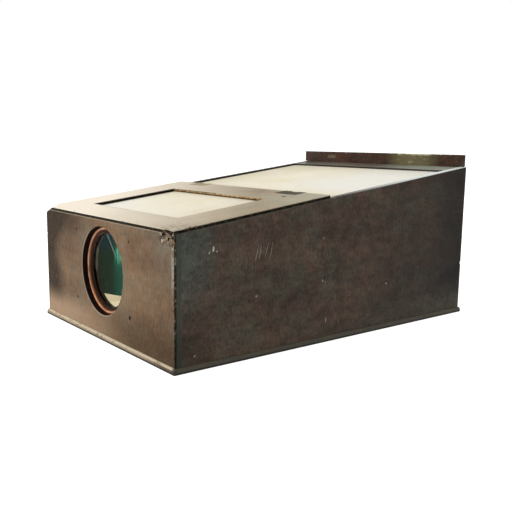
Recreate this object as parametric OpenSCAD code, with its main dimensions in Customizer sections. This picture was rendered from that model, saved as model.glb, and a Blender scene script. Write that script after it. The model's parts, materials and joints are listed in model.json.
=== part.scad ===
// Optical viewing box: a low wedge-shaped mahogany box with a lens in its front board,
// two glazed windows in its sloping top and a view slide that lifts out at the rear.
// X is the width, Y the depth with the lens at the front, Z is up. All sizes in millimetres.

/* [Carcass] */
// Outside width over the two side boards
body_w = 430; // [380:1:500]
// Outside depth from the front face to the rear ends of the side boards
body_l = 636; // [560:1:760]
// Height of the side boards' top edge at the front face
side_front_h = 192; // [188:1:224]
// Height of the side boards' top edge at the rear
side_rear_h = 276; // [262:1:316]
// Thickness of the front board and the side boards
board_t = 10.5; // [8:0.5:14]
// Thickness of the base board
base_t = 9; // [7:0.5:14]
// How far the base board's moulded edge stands out from the carcass
base_lip = 3.3; // [2:0.1:8]
// Height of the straight part of the base board's edge, below its rounded part
base_edge_h = 3.8; // [2:0.1:5]
// Leg of the glue blocks in the front corners
glue_block_leg = 18; // [12:1:26]

/* [Lens] */
// Diameter of the bore in the front board
lens_bore_d = 141; // [128:0.5:146]
// Height of the lens axis above the bottom of the base
lens_z = 111; // [98:0.5:113]
// Width of the inner board that carries the lens
lens_board_w = 214; // [196:1:260]
// Height of the inner board that carries the lens
lens_board_h = 150; // [146:1:156]
// Thickness of the inner board that carries the lens
lens_board_t = 14; // [13:0.5:20]
// Depth of the counterbore that takes the lens and its ring
lens_seat_depth = 9.5; // [9:0.1:11]
// Width of the lip that the lens rests on
lens_lip_w = 9.5; // [6:0.5:14]
// Radius of curvature of both faces of the lens
lens_curve_r = 676; // [500:1:1200]
// Thickness of the lens at its rim
lens_rim_t = 3; // [2:0.1:4]
// Width of the turned ring, from its rim to its mouth
ring_w = 10.3; // [9:0.1:14]
// Thickness of the turned ring's flat part
ring_t = 4; // [3.5:0.1:4.5]
// Radius of the bead on the turned ring
ring_bead_r = 2.9; // [2.3:0.1:3.4]
// Half the spacing of the lens board's nails across the front
nail_half_x = 90; // [84:1:94]
// Half the spacing of the lens board's nails up the front
nail_half_z = 57; // [50:1:66]
// Diameter of the lens board's nails
nail_d = 3.2; // [2:0.1:4]
// How deep the nails' heads are punched below the front face
nail_sunk = 1.6; // [0.5:0.1:3]
// Length of the lens board's nails
nail_l = 17; // [14:0.5:18]

/* [Top frame] */
// Thickness of the boards of the frame round the front window
lid_t = 5.1; // [4:0.1:8]
// Width of the frame's front rail, up the slope
front_rail_w = 56; // [50:0.5:80]
// Width of the frame's two stiles
stile_w = 78; // [60:1:90]
// Length of the front window, up the slope
window_l = 165.5; // [120:0.5:190]
// Width of the crossbar between the two windows, up the slope
crossbar_w = 66; // [58:0.5:90]
// Diameter of the pins that hold the frame down
lid_pin_d = 2.2; // [1.6:0.1:3]
// Length of the pins that hold the frame down
lid_pin_l = 20; // [14:1:30]
// Distance up the slope between the pins along each side
lid_pin_pitch = 68; // [50:1:68]
// Diameter of the old screw hole in the crossbar
old_hole_d = 2.8; // [2:0.1:4]
// Distance of the old screw hole from the right side
old_hole_inset = 65; // [40:1:110]
// Distance of the old screw hole from the crossbar's rear edge
old_hole_back = 40.5; // [25:0.5:55]

/* [Windows] */
// Thickness of the ground glass panes
glass_t = 3; // [2:0.1:4]
// Depth of the rear pane's face below the side boards' top edges
rear_recess = 3.3; // [2:0.1:6]
// How far each pane runs under or into what holds it
glass_lap = 8; // [6:0.5:10]
// Width of the glazing beads under the front window
bead_w = 14; // [13:0.5:18]
// Thickness of the glazing beads under the front window
bead_t = 8; // [6:0.5:10]
// How far the beads stand back from the window's edge
bead_back = 2; // [1:0.5:3]
// Thickness of the bar under the crossbar and of the rear crossrail
bar_t = 16; // [13:0.5:20]
// Width of the bar under the crossbar
mid_bar_w = 29; // [22:1:36]
// How far the bar under the crossbar stands back from the crossbar's rear edge
mid_bar_back = 8; // [4:1:16]
// Width and height of the two bearers under the rear pane
bearer_s = 10; // [8:0.5:14]
// Depth of the rear crossrail's top, from the rear window to the rear end of the box
rear_strip_l = 53.5; // [44:0.5:120]

/* [Flap hinges] */
// Length of each hinge leaf left on the crossbar
leaf_l = 50.5; // [40:0.5:64]
// Width of each hinge leaf, from its free edge to the crossbar's edge
leaf_w = 21; // [18:0.5:28]
// Thickness of the hinge leaves
leaf_t = 1.5; // [1:0.1:2]
// Distance of each hinge's middle in from the box's side
leaf_inset = 84; // [65:0.5:110]
// Outside diameter of the hinge knuckles
knuckle_d = 4.6; // [4:0.1:6]
// Diameter of the hinge knuckles' bore
knuckle_bore_d = 2.4; // [1.8:0.1:3]
// Length of each of the two end knuckles
knuckle_l = 16; // [12:0.5:18]
// Diameter of the hinge screws' heads
hinge_screw_head_d = 4.4; // [3.6:0.1:5]
// Diameter of the hinge screws' shanks
hinge_screw_d = 2.2; // [1.6:0.1:2.4]
// Length of the hinge screws
hinge_screw_l = 8; // [5:0.5:8]
// Distance between the hinge screws
hinge_screw_pitch = 17; // [12:0.5:18]

/* [View slide] */
// Thickness of the view slide
slide_t = 5.2; // [4:0.1:7]
// How far the slide's grip rail stands above the side boards
grip_h = 21.3; // [15:0.1:34]
// Width of the slide's frame members
slide_frame_w = 16; // [14:0.5:26]
// Width of the rebate that holds the view card
card_rebate_w = 6; // [4:0.5:8]
// Thickness of the view card
card_t = 1.2; // [0.8:0.1:1.5]
// Diameter of the sprigs behind the view card
sprig_d = 0.9; // [0.8:0.1:1]
// Length of the sprigs behind the view card
sprig_l = 5; // [4:0.5:6]
// Width of the upright guide beads on the side boards
guide_w = 8; // [6:0.5:12]
// Thickness of the guide beads in front of the slide
front_guide_t = 8; // [6:0.5:10]
// Thickness of the guide beads behind the slide
rear_guide_t = 4.2; // [2.5:0.1:6]

/* [Lining and fixings] */
// Thickness of the paper linings
lining_t = 0.6; // [0.4:0.1:1]
// Diameter of the base screws' shanks
base_screw_d = 3; // [2.5:0.1:3.5]
// Diameter of the base screws' heads
base_screw_head_d = 6; // [5:0.1:6.6]
// Length of the base screws
base_screw_l = 26; // [20:1:34]
// Number of base screws along each side
base_screws_side = 5; // [3:1:6]

/* [Wear] */
// How far the broken corner of the front frame runs along the front edge
chip_x = 28; // [10:1:34]
// How far the broken corner runs up the left edge
chip_y = 24; // [10:1:34]
// How far the broken corner runs down the front
chip_z = 11; // [5.5:0.5:14]
// How far the bruise at the right corner runs along the front board's top edge
bruise_x = 34; // [15:1:44]
// How far the bruise runs down the corner
bruise_z = 9; // [4:0.5:14]
// Depth of the bruise in the front board's face
bruise_y = 3.4; // [1:0.1:5]

/* [Clearances] */
// Gap left at glued joints and round pieces laid in place
joint_gap = 0.1; // [0.05:0.05:0.2]
// Gap between the view slide and what guides it, on each side
slide_gap = 0.35; // [0.3:0.05:0.5]
// Radial gap round the lens and its ring
lens_gap = 0.25; // [0.1:0.05:0.3]
// Radial gap round nails, pins and screws
fixing_gap = 0.05; // [0.02:0.01:0.1]

/* [Hidden] */
$fn = 64;
// Reach of a cut past the faces that it goes through
over = 2;
// Places that follow from the sizes above
half_w = body_w / 2;
inner_half_w = half_w - board_t;
front_y = -body_l / 2;
rear_y = body_l / 2;
inner_front_y = front_y + board_t;
slope = atan((side_rear_h - side_front_h) / body_l);
// The slide's own sheet lies between its rear guides and the rear crossrail
slide_rear_y = rear_y - rear_guide_t - slide_gap;
slide_front_y = slide_rear_y - slide_t;
front_guide_rear_y = slide_front_y - slide_gap;
front_guide_y = front_guide_rear_y - front_guide_t;
// Places up the slope, measured from the front face along the side boards' top edge
window_front_u = front_rail_w;
window_rear_u = front_rail_w + window_l;
crossbar_rear_u = window_rear_u + crossbar_w;
window_half_w = half_w - stile_w;
mid_bar_rear_u = crossbar_rear_u - mid_bar_back;
mid_bar_front_u = mid_bar_rear_u - mid_bar_w;
rear_window_y = rear_y - rear_strip_l;
crossrail_front_u = (rear_window_y - front_y) / cos(slope);
// Heights below or above the side boards' top edge, square to the slope
rear_glass_top = -rear_recess;
rear_glass_bottom = rear_glass_top - glass_t;
front_glass_top = -joint_gap;
front_glass_bottom = front_glass_top - glass_t;
bearer_top = rear_glass_bottom - joint_gap;
// The bearers end a little in front of the crossrail
bearer_clear = 4;
// The wall linings stop a little below the bars
lining_margin = 1;
lining_top = -bar_t - lining_margin;
// A glue block's cut corner, as a share of its leg
block_nose_share = 1 / 3;
// The lens, its seat and its ring
lens_r = lens_bore_d / 2 - lens_gap;
lip_r = lens_bore_d / 2 - lens_lip_w;
lip_y = inner_front_y + lens_seat_depth;
ring_outer_r = lens_bore_d / 2 - lens_gap;
ring_inner_r = ring_outer_r - ring_w;
// The ring's cove, as a share of its bead, and the lip between the cove and the mouth
cove_share = 0.62;
ring_lip_w = 1;
// Depth of the curved face of the lens at a distance from its axis
function lens_sag(r) = lens_curve_r - sqrt(lens_curve_r * lens_curve_r - r * r);
rim_rear_y = lip_y - (lens_sag(lens_r) - lens_sag(lip_r)) - joint_gap;
rim_front_y = rim_rear_y - lens_rim_t;
ring_rear_y = rim_front_y - (lens_sag(lens_r) - lens_sag(ring_inner_r)) - joint_gap;
ring_face_y = ring_rear_y - ring_t;
// The slide: a frame between the side boards, with its grip rail above them
slide_half_w = inner_half_w - slide_gap;
slide_bottom_z = base_t + slide_gap;
slide_arm_z = top_z(slide_rear_y) + slide_gap;
grip_top_z = side_rear_h + grip_h;
card_half_w = slide_half_w - slide_frame_w + card_rebate_w - joint_gap;
card_bottom_z = slide_bottom_z + slide_frame_w - card_rebate_w + joint_gap;
card_top_z = slide_arm_z - slide_frame_w + card_rebate_w - joint_gap;
card_rebate_d = slide_t / 2;
card_rear_y = slide_rear_y - card_rebate_d + card_t + joint_gap;
sprig_y = card_rear_y + sprig_d / 2 + joint_gap;
leaf_x = half_w - leaf_inset;
knuckle_u = crossbar_rear_u + knuckle_d / 2 + joint_gap;
// The knuckles curl down behind the crossbar, level with the leaves' faces
knuckle_n = lid_t - knuckle_d / 2;
hinge_screw_u = crossbar_rear_u - leaf_w / 2;
old_hole_x = half_w - old_hole_inset;
old_hole_u = crossbar_rear_u - old_hole_back;
old_hole_depth = 3;
lid_pin_inset = board_t / 2;
// The pins' heads are punched a little below the frame's face
lid_pin_sunk = 0.2;
lid_pin_n = lid_t - lid_pin_sunk;
lid_pin_first_u = 30;
lid_pins_side = floor((crossbar_rear_u - lid_pin_inset - lid_pin_first_u) / lid_pin_pitch) + 1;
sprigs_a_side = 4;
base_screw_inset = board_t / 2;
base_screw_end = 36;
base_screw_pitch_x = 129;
base_screw_sunk = 0.6;
base_screw_cone_h = (base_screw_head_d - base_screw_d) / 2;

// Height of the side boards' top edge at a place along the box
function top_z(y) = side_front_h + (y - front_y) * tan(slope);
// Pins along one side of the top frame, up the slope, and across its front rail
function lid_pin_us() = [for (i = [0 : lid_pins_side - 1]) lid_pin_first_u + i * lid_pin_pitch];
function lid_pin_xs() = [-body_w / 4, body_w / 4];
// Base screws along one side, and across the front
function base_screw_ys() =
  let (first = inner_front_y + base_screw_end, last = rear_y - base_screw_end)
  [for (i = [0 : base_screws_side - 1]) first + i * (last - first) / (base_screws_side - 1)];
function base_screw_xs() = [for (i = [-1 : 1]) i * base_screw_pitch_x];

// Puts a shape drawn as X, up the slope, square to the slope in its place
module on_slope() {
  translate([0, front_y, side_front_h]) rotate([slope, 0, 0]) children();
}

// A bar between two corners
module bar(low, high) {
  translate(low) cube(high - low);
}

// A prism across the box, from an outline of depth and height
module across(x_low, x_high, outline) {
  translate([x_low, 0, 0]) rotate([90, 0, 90]) linear_extrude(x_high - x_low) polygon(outline);
}

// A cylinder along the box, from one depth to another
module along_y(r, y_low, y_high) {
  translate([0, y_high, 0]) rotate([90, 0, 0]) cylinder(r = r, h = y_high - y_low);
}

// A solid that breaks a corner away along a plane; the legs run into the work
module corner_break(corner, leg_x, leg_y, leg_z) {
  s = sign(leg_x);
  k = over;
  grow = 1 + k / abs(leg_x) + k / leg_y + k / leg_z;
  origin = corner + [-s * k, -k, k];
  points = [
    origin,
    origin + [s * (abs(leg_x) * grow), 0, 0],
    origin + [0, leg_y * grow, 0],
    origin + [0, 0, -leg_z * grow]
  ];
  turned = s > 0 ? [[0, 2, 1], [0, 1, 3], [0, 3, 2], [1, 2, 3]]
                 : [[0, 1, 2], [0, 3, 1], [0, 2, 3], [1, 3, 2]];
  polyhedron(points, turned);
}

// The broken left corner of the top frame
module left_corner_break() {
  corner_break([-half_w, front_y, top_z(front_y) + lid_t], chip_x, chip_y, chip_z);
}

// The bruised right corner of the front board
module right_corner_bruise() {
  corner_break([half_w, front_y, side_front_h], -bruise_x, bruise_y, bruise_z);
}

// Places of the four nails that hold the lens board
module at_lens_nails() {
  for (x = [-nail_half_x, nail_half_x])
    for (z = [-nail_half_z, nail_half_z])
      translate([x, 0, lens_z + z]) children();
}

// Places of the pins that hold the top frame, drawn along the slope's own axes
module at_lid_pins() {
  on_slope() {
    for (x = [-half_w + lid_pin_inset, half_w - lid_pin_inset])
      for (u = lid_pin_us())
        translate([x, u, 0]) children();
    for (x = lid_pin_xs())
      translate([x, lid_pin_inset, 0]) children();
  }
}

// Places of the base screws, at the underside of the base
module at_base_screws() {
  for (x = [-half_w + base_screw_inset, half_w - base_screw_inset])
    for (y = base_screw_ys())
      translate([x, y, 0]) children();
  for (x = base_screw_xs())
    translate([x, front_y + base_screw_inset, 0]) children();
}

module base_screw(extra) {
  head_z = base_screw_sunk;
  translate([0, 0, head_z])
    cylinder(r1 = base_screw_head_d / 2 + extra, r2 = base_screw_d / 2 + extra, h = base_screw_cone_h);
  translate([0, 0, head_z])
    cylinder(r = base_screw_d / 2 + extra, h = base_screw_l + extra);
}

module base_screw_holes() {
  at_base_screws() {
    base_screw(fixing_gap);
    translate([0, 0, -over])
      cylinder(r = base_screw_head_d / 2 + fixing_gap, h = over + base_screw_sunk);
  }
}

module lid_pin_holes() {
  at_lid_pins()
    translate([0, 0, lid_pin_n - lid_pin_l - fixing_gap])
      cylinder(r = lid_pin_d / 2 + fixing_gap, h = lid_pin_l + over);
}

// One slab of the base board, narrower by inset all round, up to a height
module base_slab(inset, z_top) {
  bar([-half_w - base_lip + inset, front_y - base_lip + inset, 0],
      [half_w + base_lip - inset, rear_y + base_lip - inset, z_top]);
}

module base_board() {
  round_h = base_t - base_edge_h;
  color([0.36, 0.26, 0.19])
  difference() {
    hull()
      for (a = [0 : 22.5 : 90])
        base_slab(base_lip * (1 - cos(a)), base_edge_h + round_h * sin(a));
    base_screw_holes();
  }
}

module front_board() {
  color([0.50, 0.40, 0.32])
  difference() {
    across(-half_w, half_w, [
      [front_y, base_t],
      [inner_front_y, base_t],
      [inner_front_y, top_z(inner_front_y)],
      [front_y, top_z(front_y)]
    ]);
    translate([0, 0, lens_z]) along_y(lens_bore_d / 2, front_y - over, inner_front_y + over);
    at_lens_nails() along_y(nail_d / 2 + fixing_gap, front_y - over, inner_front_y + over);
    lid_pin_holes();
    base_screw_holes();
    left_corner_break();
    right_corner_bruise();
  }
}

module side_board(side) {
  color([0.27, 0.19, 0.15])
  difference() {
    across(side > 0 ? inner_half_w : -half_w, side > 0 ? half_w : -inner_half_w, [
      [inner_front_y, base_t],
      [rear_y, base_t],
      [rear_y, top_z(rear_y)],
      [inner_front_y, top_z(inner_front_y)]
    ]);
    lid_pin_holes();
    base_screw_holes();
    left_corner_break();
  }
}

module glue_block(side) {
  corner_x = side * inner_half_w;
  nose = glue_block_leg * block_nose_share;
  block_top = top_z(inner_front_y) - joint_gap;
  color([0.62, 0.50, 0.34])
  translate([0, 0, base_t])
    linear_extrude(block_top - base_t)
      polygon([
        [corner_x, inner_front_y],
        [corner_x - side * glue_block_leg, inner_front_y],
        [corner_x - side * glue_block_leg, inner_front_y + nose],
        [corner_x - side * nose, inner_front_y + glue_block_leg],
        [corner_x, inner_front_y + glue_block_leg]
      ]);
}

module lens_board() {
  y_rear = inner_front_y + lens_board_t;
  color([0.33, 0.22, 0.15])
  difference() {
    bar([-lens_board_w / 2, inner_front_y, lens_z - lens_board_h / 2],
        [lens_board_w / 2, y_rear, lens_z + lens_board_h / 2]);
    translate([0, 0, lens_z]) {
      along_y(lens_bore_d / 2, inner_front_y - over, lip_y);
      along_y(lip_r, inner_front_y, y_rear + over);
    }
    at_lens_nails() along_y(nail_d / 2 + fixing_gap, front_y, front_y + nail_sunk + nail_l + fixing_gap);
  }
}

module lens() {
  steps = 24;
  front_face = [for (i = [0 : steps]) let (r = lens_r * i / steps)
    [r, rim_front_y - (lens_sag(lens_r) - lens_sag(r))]];
  rear_face = [for (i = [steps : -1 : 0]) let (r = lens_r * i / steps)
    [r, rim_rear_y + (lens_sag(lens_r) - lens_sag(r))]];
  color([0.75, 0.88, 0.82, 0.5])
  translate([0, 0, lens_z]) rotate([-90, 0, 0])
    rotate_extrude($fn = 96) polygon(concat(front_face, rear_face));
}

module lens_ring() {
  bead_mid = ring_outer_r - ring_bead_r;
  cove_r = ring_bead_r * cove_share;
  cove_mid = ring_inner_r + cove_r + ring_lip_w;
  color([0.66, 0.38, 0.20])
  translate([0, 0, lens_z]) rotate([-90, 0, 0])
    rotate_extrude($fn = 96)
      difference() {
        union() {
          translate([ring_inner_r, ring_face_y]) square([ring_w, ring_t]);
          translate([bead_mid, ring_face_y]) circle(r = ring_bead_r, $fn = 48);
        }
        translate([cove_mid, ring_face_y]) circle(r = cove_r, $fn = 32);
      }
}

module lens_board_nails() {
  color([0.22, 0.19, 0.17])
    at_lens_nails()
      along_y(nail_d / 2, front_y + nail_sunk, front_y + nail_sunk + nail_l);
}

// A flat board of the top frame, from an outline of width and distance up the slope
module lid_board(outline) {
  difference() {
    on_slope() linear_extrude(lid_t) polygon(outline);
    lid_pin_holes();
    left_corner_break();
  }
}

module front_rail() {
  g = joint_gap / 2;
  color([0.76, 0.66, 0.55])
    lid_board([
      [-half_w + g, 0], [half_w - g, 0],
      [window_half_w - g, window_front_u], [-window_half_w + g, window_front_u]
    ]);
}

module lid_stile(side) {
  g = joint_gap / 2;
  end_u = window_rear_u - joint_gap;
  color([0.70, 0.60, 0.50])
    lid_board([
      [side * half_w, g], [side * window_half_w, window_front_u + g],
      [side * window_half_w, end_u], [side * half_w, end_u]
    ]);
}

// The two hinge recesses, cut with a little room round the leaves
module hinge_recesses() {
  on_slope()
    for (side = [-1, 1])
      bar([side * leaf_x - leaf_l / 2 - joint_gap, crossbar_rear_u - leaf_w - joint_gap, lid_t - leaf_t],
          [side * leaf_x + leaf_l / 2 + joint_gap, crossbar_rear_u + over, lid_t + over]);
}

// Places of the hinge screws, at the top of the leaves
module at_hinge_screws() {
  on_slope()
    for (side = [-1, 1])
      for (i = [-1 : 1])
        translate([side * leaf_x + i * hinge_screw_pitch, hinge_screw_u, lid_t]) children();
}

module hinge_screw(extra) {
  cone_h = (hinge_screw_head_d - hinge_screw_d) / 2;
  translate([0, 0, -cone_h])
    cylinder(r1 = hinge_screw_d / 2 + extra, r2 = hinge_screw_head_d / 2 + extra, h = cone_h);
  translate([0, 0, -hinge_screw_l - extra])
    cylinder(r = hinge_screw_d / 2 + extra, h = hinge_screw_l - cone_h + 2 * extra);
}

module crossbar() {
  color([0.70, 0.61, 0.50])
  difference() {
    lid_board([
      [-half_w, window_rear_u], [half_w, window_rear_u],
      [half_w, crossbar_rear_u], [-half_w, crossbar_rear_u]
    ]);
    hinge_recesses();
    at_hinge_screws() hinge_screw(fixing_gap);
    on_slope()
      translate([old_hole_x, old_hole_u, lid_t - old_hole_depth])
        cylinder(r = old_hole_d / 2, h = old_hole_depth + over);
  }
}

module hinge_leaf(side) {
  low_x = side * leaf_x - leaf_l / 2;
  color([0.42, 0.38, 0.28])
  difference() {
    on_slope()
      difference() {
        union() {
          bar([low_x, crossbar_rear_u - leaf_w, lid_t - leaf_t],
              [low_x + leaf_l, knuckle_u, lid_t]);
          translate([low_x, knuckle_u, knuckle_n])
            rotate([0, 90, 0]) cylinder(r = knuckle_d / 2, h = leaf_l);
        }
        // Room for the knuckle of the leaf that the flap carried
        bar([low_x + knuckle_l, crossbar_rear_u, lid_t - 2 * knuckle_d],
            [low_x + leaf_l - knuckle_l, knuckle_u + knuckle_d, lid_t + 2 * knuckle_d]);
        translate([low_x - over, knuckle_u, knuckle_n])
          rotate([0, 90, 0]) cylinder(r = knuckle_bore_d / 2, h = leaf_l + 2 * over);
      }
    at_hinge_screws() hinge_screw(fixing_gap);
  }
}

module hinge_screws() {
  color([0.35, 0.32, 0.26])
    at_hinge_screws() hinge_screw(0);
}

module front_pane() {
  color([0.95, 0.94, 0.88, 0.9])
    on_slope()
      bar([-window_half_w - glass_lap, window_front_u - glass_lap, front_glass_bottom],
          [window_half_w + glass_lap, window_rear_u + glass_lap, front_glass_top]);
}

// A glazing bead under the front window's side edge, rebated for the pane
module side_bead(side) {
  x_in = window_half_w + bead_back;
  x_glass = window_half_w + glass_lap + joint_gap;
  u_low = window_front_u + bead_back - bead_w;
  u_high = window_rear_u - bead_back + bead_w;
  color([0.45, 0.33, 0.22])
    on_slope() mirror([side > 0 ? 0 : 1, 0, 0])
      difference() {
        bar([x_in, u_low, -bead_t], [x_in + bead_w, u_high, 0]);
        bar([x_in - over, u_low - over, front_glass_bottom - joint_gap], [x_glass, u_high + over, over]);
      }
}

// A glazing bead under the front window's front or rear edge, between the side beads
module end_bead(side) {
  half = window_half_w + bead_back - joint_gap;
  u_edge = side > 0 ? window_rear_u : window_front_u;
  u_glass = u_edge + side * (glass_lap + joint_gap);
  u_in = u_edge - side * bead_back;
  u_out = u_in + side * bead_w;
  color([0.45, 0.33, 0.22])
    on_slope()
      difference() {
        bar([-half, min(u_in, u_out), -bead_t], [half, max(u_in, u_out), 0]);
        bar([-half - over, min(u_in - side * over, u_glass), front_glass_bottom - joint_gap],
            [half + over, max(u_in - side * over, u_glass), over]);
      }
}

module mid_bar() {
  color([0.42, 0.30, 0.20])
  difference() {
    on_slope()
      difference() {
        bar([-inner_half_w + joint_gap, mid_bar_front_u, -bar_t],
            [inner_half_w - joint_gap, mid_bar_rear_u, 0]);
        bar([-inner_half_w, mid_bar_rear_u - glass_lap - joint_gap, rear_glass_bottom - joint_gap],
            [inner_half_w, mid_bar_rear_u + over, rear_glass_top + joint_gap]);
      }
    at_hinge_screws() hinge_screw(fixing_gap);
  }
}

module rear_pane() {
  color([0.93, 0.93, 0.88, 0.9])
    on_slope()
      bar([-inner_half_w + joint_gap, mid_bar_rear_u - glass_lap, rear_glass_bottom],
          [inner_half_w - joint_gap, crossrail_front_u + glass_lap, rear_glass_top]);
}

module pane_bearer(side) {
  color([0.42, 0.30, 0.20])
    on_slope() mirror([side > 0 ? 0 : 1, 0, 0])
      bar([inner_half_w - joint_gap - bearer_s, mid_bar_rear_u + joint_gap, bearer_top - bearer_s],
          [inner_half_w - joint_gap, crossrail_front_u - bearer_clear, bearer_top]);
}

module rear_crossrail() {
  color([0.40, 0.29, 0.20])
  difference() {
    across(-inner_half_w + joint_gap, inner_half_w - joint_gap, [
      [rear_window_y, top_z(rear_window_y) - bar_t],
      [front_guide_rear_y, top_z(rear_window_y) - bar_t],
      [front_guide_rear_y, top_z(front_guide_rear_y)],
      [rear_window_y, top_z(rear_window_y)]
    ]);
    on_slope()
      bar([-inner_half_w, crossrail_front_u - 2 * over, rear_glass_bottom - joint_gap],
          [inner_half_w, crossrail_front_u + glass_lap + joint_gap, rear_glass_top + joint_gap]);
  }
}

// An upright guide bead: in front of the slide it stops under the rear crossrail
module front_guide(side) {
  guide_top = top_z(rear_window_y) - bar_t;
  color([0.38, 0.27, 0.19])
    mirror([side > 0 ? 0 : 1, 0, 0])
      bar([inner_half_w - guide_w, front_guide_y, base_t],
          [inner_half_w, front_guide_rear_y, guide_top]);
}

module rear_guide(side) {
  color([0.38, 0.27, 0.19])
    mirror([side > 0 ? 0 : 1, 0, 0])
      bar([inner_half_w - guide_w, rear_y - rear_guide_t, base_t],
          [inner_half_w, rear_y, top_z(rear_y - rear_guide_t)]);
}

// The rebate for the view card, cut from the slide's rear face
module card_rebate() {
  bar([-card_half_w - joint_gap, slide_rear_y - card_rebate_d, card_bottom_z - joint_gap],
      [card_half_w + joint_gap, slide_rear_y + over, card_top_z + joint_gap]);
}

// The slide's window, through its whole thickness
module slide_window() {
  half = slide_half_w - slide_frame_w;
  bar([-half, slide_front_y - over, slide_bottom_z + slide_frame_w],
      [half, slide_rear_y + over, slide_arm_z - slide_frame_w]);
}

// Half-lap at a corner of the slide: one half of the thickness over the corner square
module lap_corners(y_low, y_high, z_low, z_high) {
  for (side = [-1, 1]) {
    x_out = side * (slide_half_w + over);
    x_in = side * (slide_half_w - slide_frame_w);
    bar([min(x_out, x_in), y_low, z_low], [max(x_out, x_in), y_high, z_high]);
  }
}

module slide_rail() {
  lap_y = slide_rear_y - card_rebate_d;
  color([0.24, 0.19, 0.15])
  difference() {
    union() {
      bar([-half_w, slide_front_y, slide_arm_z], [half_w, slide_rear_y, grip_top_z]);
      bar([-slide_half_w, slide_front_y, slide_arm_z - slide_frame_w],
          [slide_half_w, slide_rear_y, slide_arm_z]);
    }
    card_rebate();
    lap_corners(lap_y, slide_rear_y + over, slide_arm_z - slide_frame_w - over, slide_arm_z);
    card_sprig_holes();
  }
}

module slide_bottom_rail() {
  lap_y = slide_rear_y - card_rebate_d;
  color([0.30, 0.22, 0.16])
  difference() {
    bar([-slide_half_w, slide_front_y, slide_bottom_z],
        [slide_half_w, slide_rear_y, slide_bottom_z + slide_frame_w]);
    card_rebate();
    lap_corners(lap_y, slide_rear_y + over, slide_bottom_z - over, slide_bottom_z + slide_frame_w);
    card_sprig_holes();
  }
}

module slide_stile(side) {
  lap_y = slide_rear_y - card_rebate_d + joint_gap;
  color([0.30, 0.22, 0.16])
  difference() {
    mirror([side > 0 ? 0 : 1, 0, 0])
      bar([slide_half_w - slide_frame_w, slide_front_y, slide_bottom_z],
          [slide_half_w, slide_rear_y, slide_arm_z - joint_gap]);
    card_rebate();
    for (z = [slide_bottom_z - over, slide_arm_z - slide_frame_w - joint_gap])
      lap_corners(slide_front_y - over, lap_y, z, z + slide_frame_w + over + joint_gap);
  }
}

module view_card() {
  color([0.88, 0.85, 0.76])
    bar([-card_half_w, card_rear_y - card_t, card_bottom_z],
        [card_half_w, card_rear_y, card_top_z]);
}

// Sprigs driven into the edges of the rebate, flat against the back of the card
module at_card_sprigs() {
  for (i = [0 : sprigs_a_side - 1]) {
    x = card_half_w * ((2 * i + 1) / sprigs_a_side - 1);
    translate([x, sprig_y, card_top_z + sprig_l / 2]) children();
    translate([x, sprig_y, card_bottom_z - sprig_l / 2]) children();
  }
}

module card_sprigs() {
  color([0.45, 0.43, 0.40])
    at_card_sprigs() translate([0, 0, -sprig_l]) cylinder(r = sprig_d / 2, h = 2 * sprig_l);
}

module card_sprig_holes() {
  at_card_sprigs()
    translate([0, 0, -sprig_l - fixing_gap])
      cylinder(r = sprig_d / 2 + fixing_gap, h = 2 * (sprig_l + fixing_gap));
}

module wall_lining(side) {
  y_low = inner_front_y + glue_block_leg + joint_gap;
  y_high = front_guide_y - joint_gap;
  drop = lining_top / cos(slope);
  rear_top = top_z(rear_window_y) + drop;
  color([0.14, 0.20, 0.17])
    mirror([side > 0 ? 0 : 1, 0, 0])
      across(inner_half_w - lining_t, inner_half_w, [
        [y_low, base_t + lining_t],
        [y_high, base_t + lining_t],
        [y_high, rear_top],
        [rear_window_y, rear_top],
        [y_low, top_z(y_low) + drop]
      ]);
}

module floor_lining() {
  color([0.85, 0.78, 0.64])
    bar([-inner_half_w, inner_front_y + glue_block_leg + joint_gap, base_t],
        [inner_half_w, front_guide_y - joint_gap, base_t + lining_t]);
}

module lid_pins() {
  color([0.40, 0.32, 0.26])
    at_lid_pins()
      translate([0, 0, lid_pin_n - lid_pin_l]) cylinder(r = lid_pin_d / 2, h = lid_pin_l);
}

module base_screws() {
  color([0.40, 0.38, 0.36])
    at_base_screws() base_screw(0);
}

base_board();
front_board();
side_board(-1);  // left_side_board
side_board(1);  // right_side_board
glue_block(-1);  // front_left_glue_block
glue_block(1);  // front_right_glue_block
lens_board();
lens();
lens_ring();
lens_board_nails();
front_rail();
lid_stile(-1);  // left_stile
lid_stile(1);  // right_stile
crossbar();
hinge_leaf(-1);  // left_hinge_leaf
hinge_leaf(1);  // right_hinge_leaf
hinge_screws();
front_pane();
end_bead(-1);  // front_pane_front_bead
end_bead(1);  // front_pane_rear_bead
side_bead(-1);  // front_pane_left_bead
side_bead(1);  // front_pane_right_bead
mid_bar();
rear_pane();
pane_bearer(-1);  // left_pane_bearer
pane_bearer(1);  // right_pane_bearer
rear_crossrail();
front_guide(-1);  // left_front_guide
front_guide(1);  // right_front_guide
rear_guide(-1);  // left_rear_guide
rear_guide(1);  // right_rear_guide
slide_rail();
slide_stile(-1);  // slide_left_stile
slide_stile(1);  // slide_right_stile
slide_bottom_rail();
view_card();
card_sprigs();
wall_lining(-1);  // left_wall_lining
wall_lining(1);  // right_wall_lining
floor_lining();
lid_pins();
base_screws();
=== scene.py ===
"""Optical viewing box: its looks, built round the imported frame. Metres, +Z up, -Y the front."""

import json
import math
import random

import bpy
from mathutils import Matrix, Vector

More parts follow.
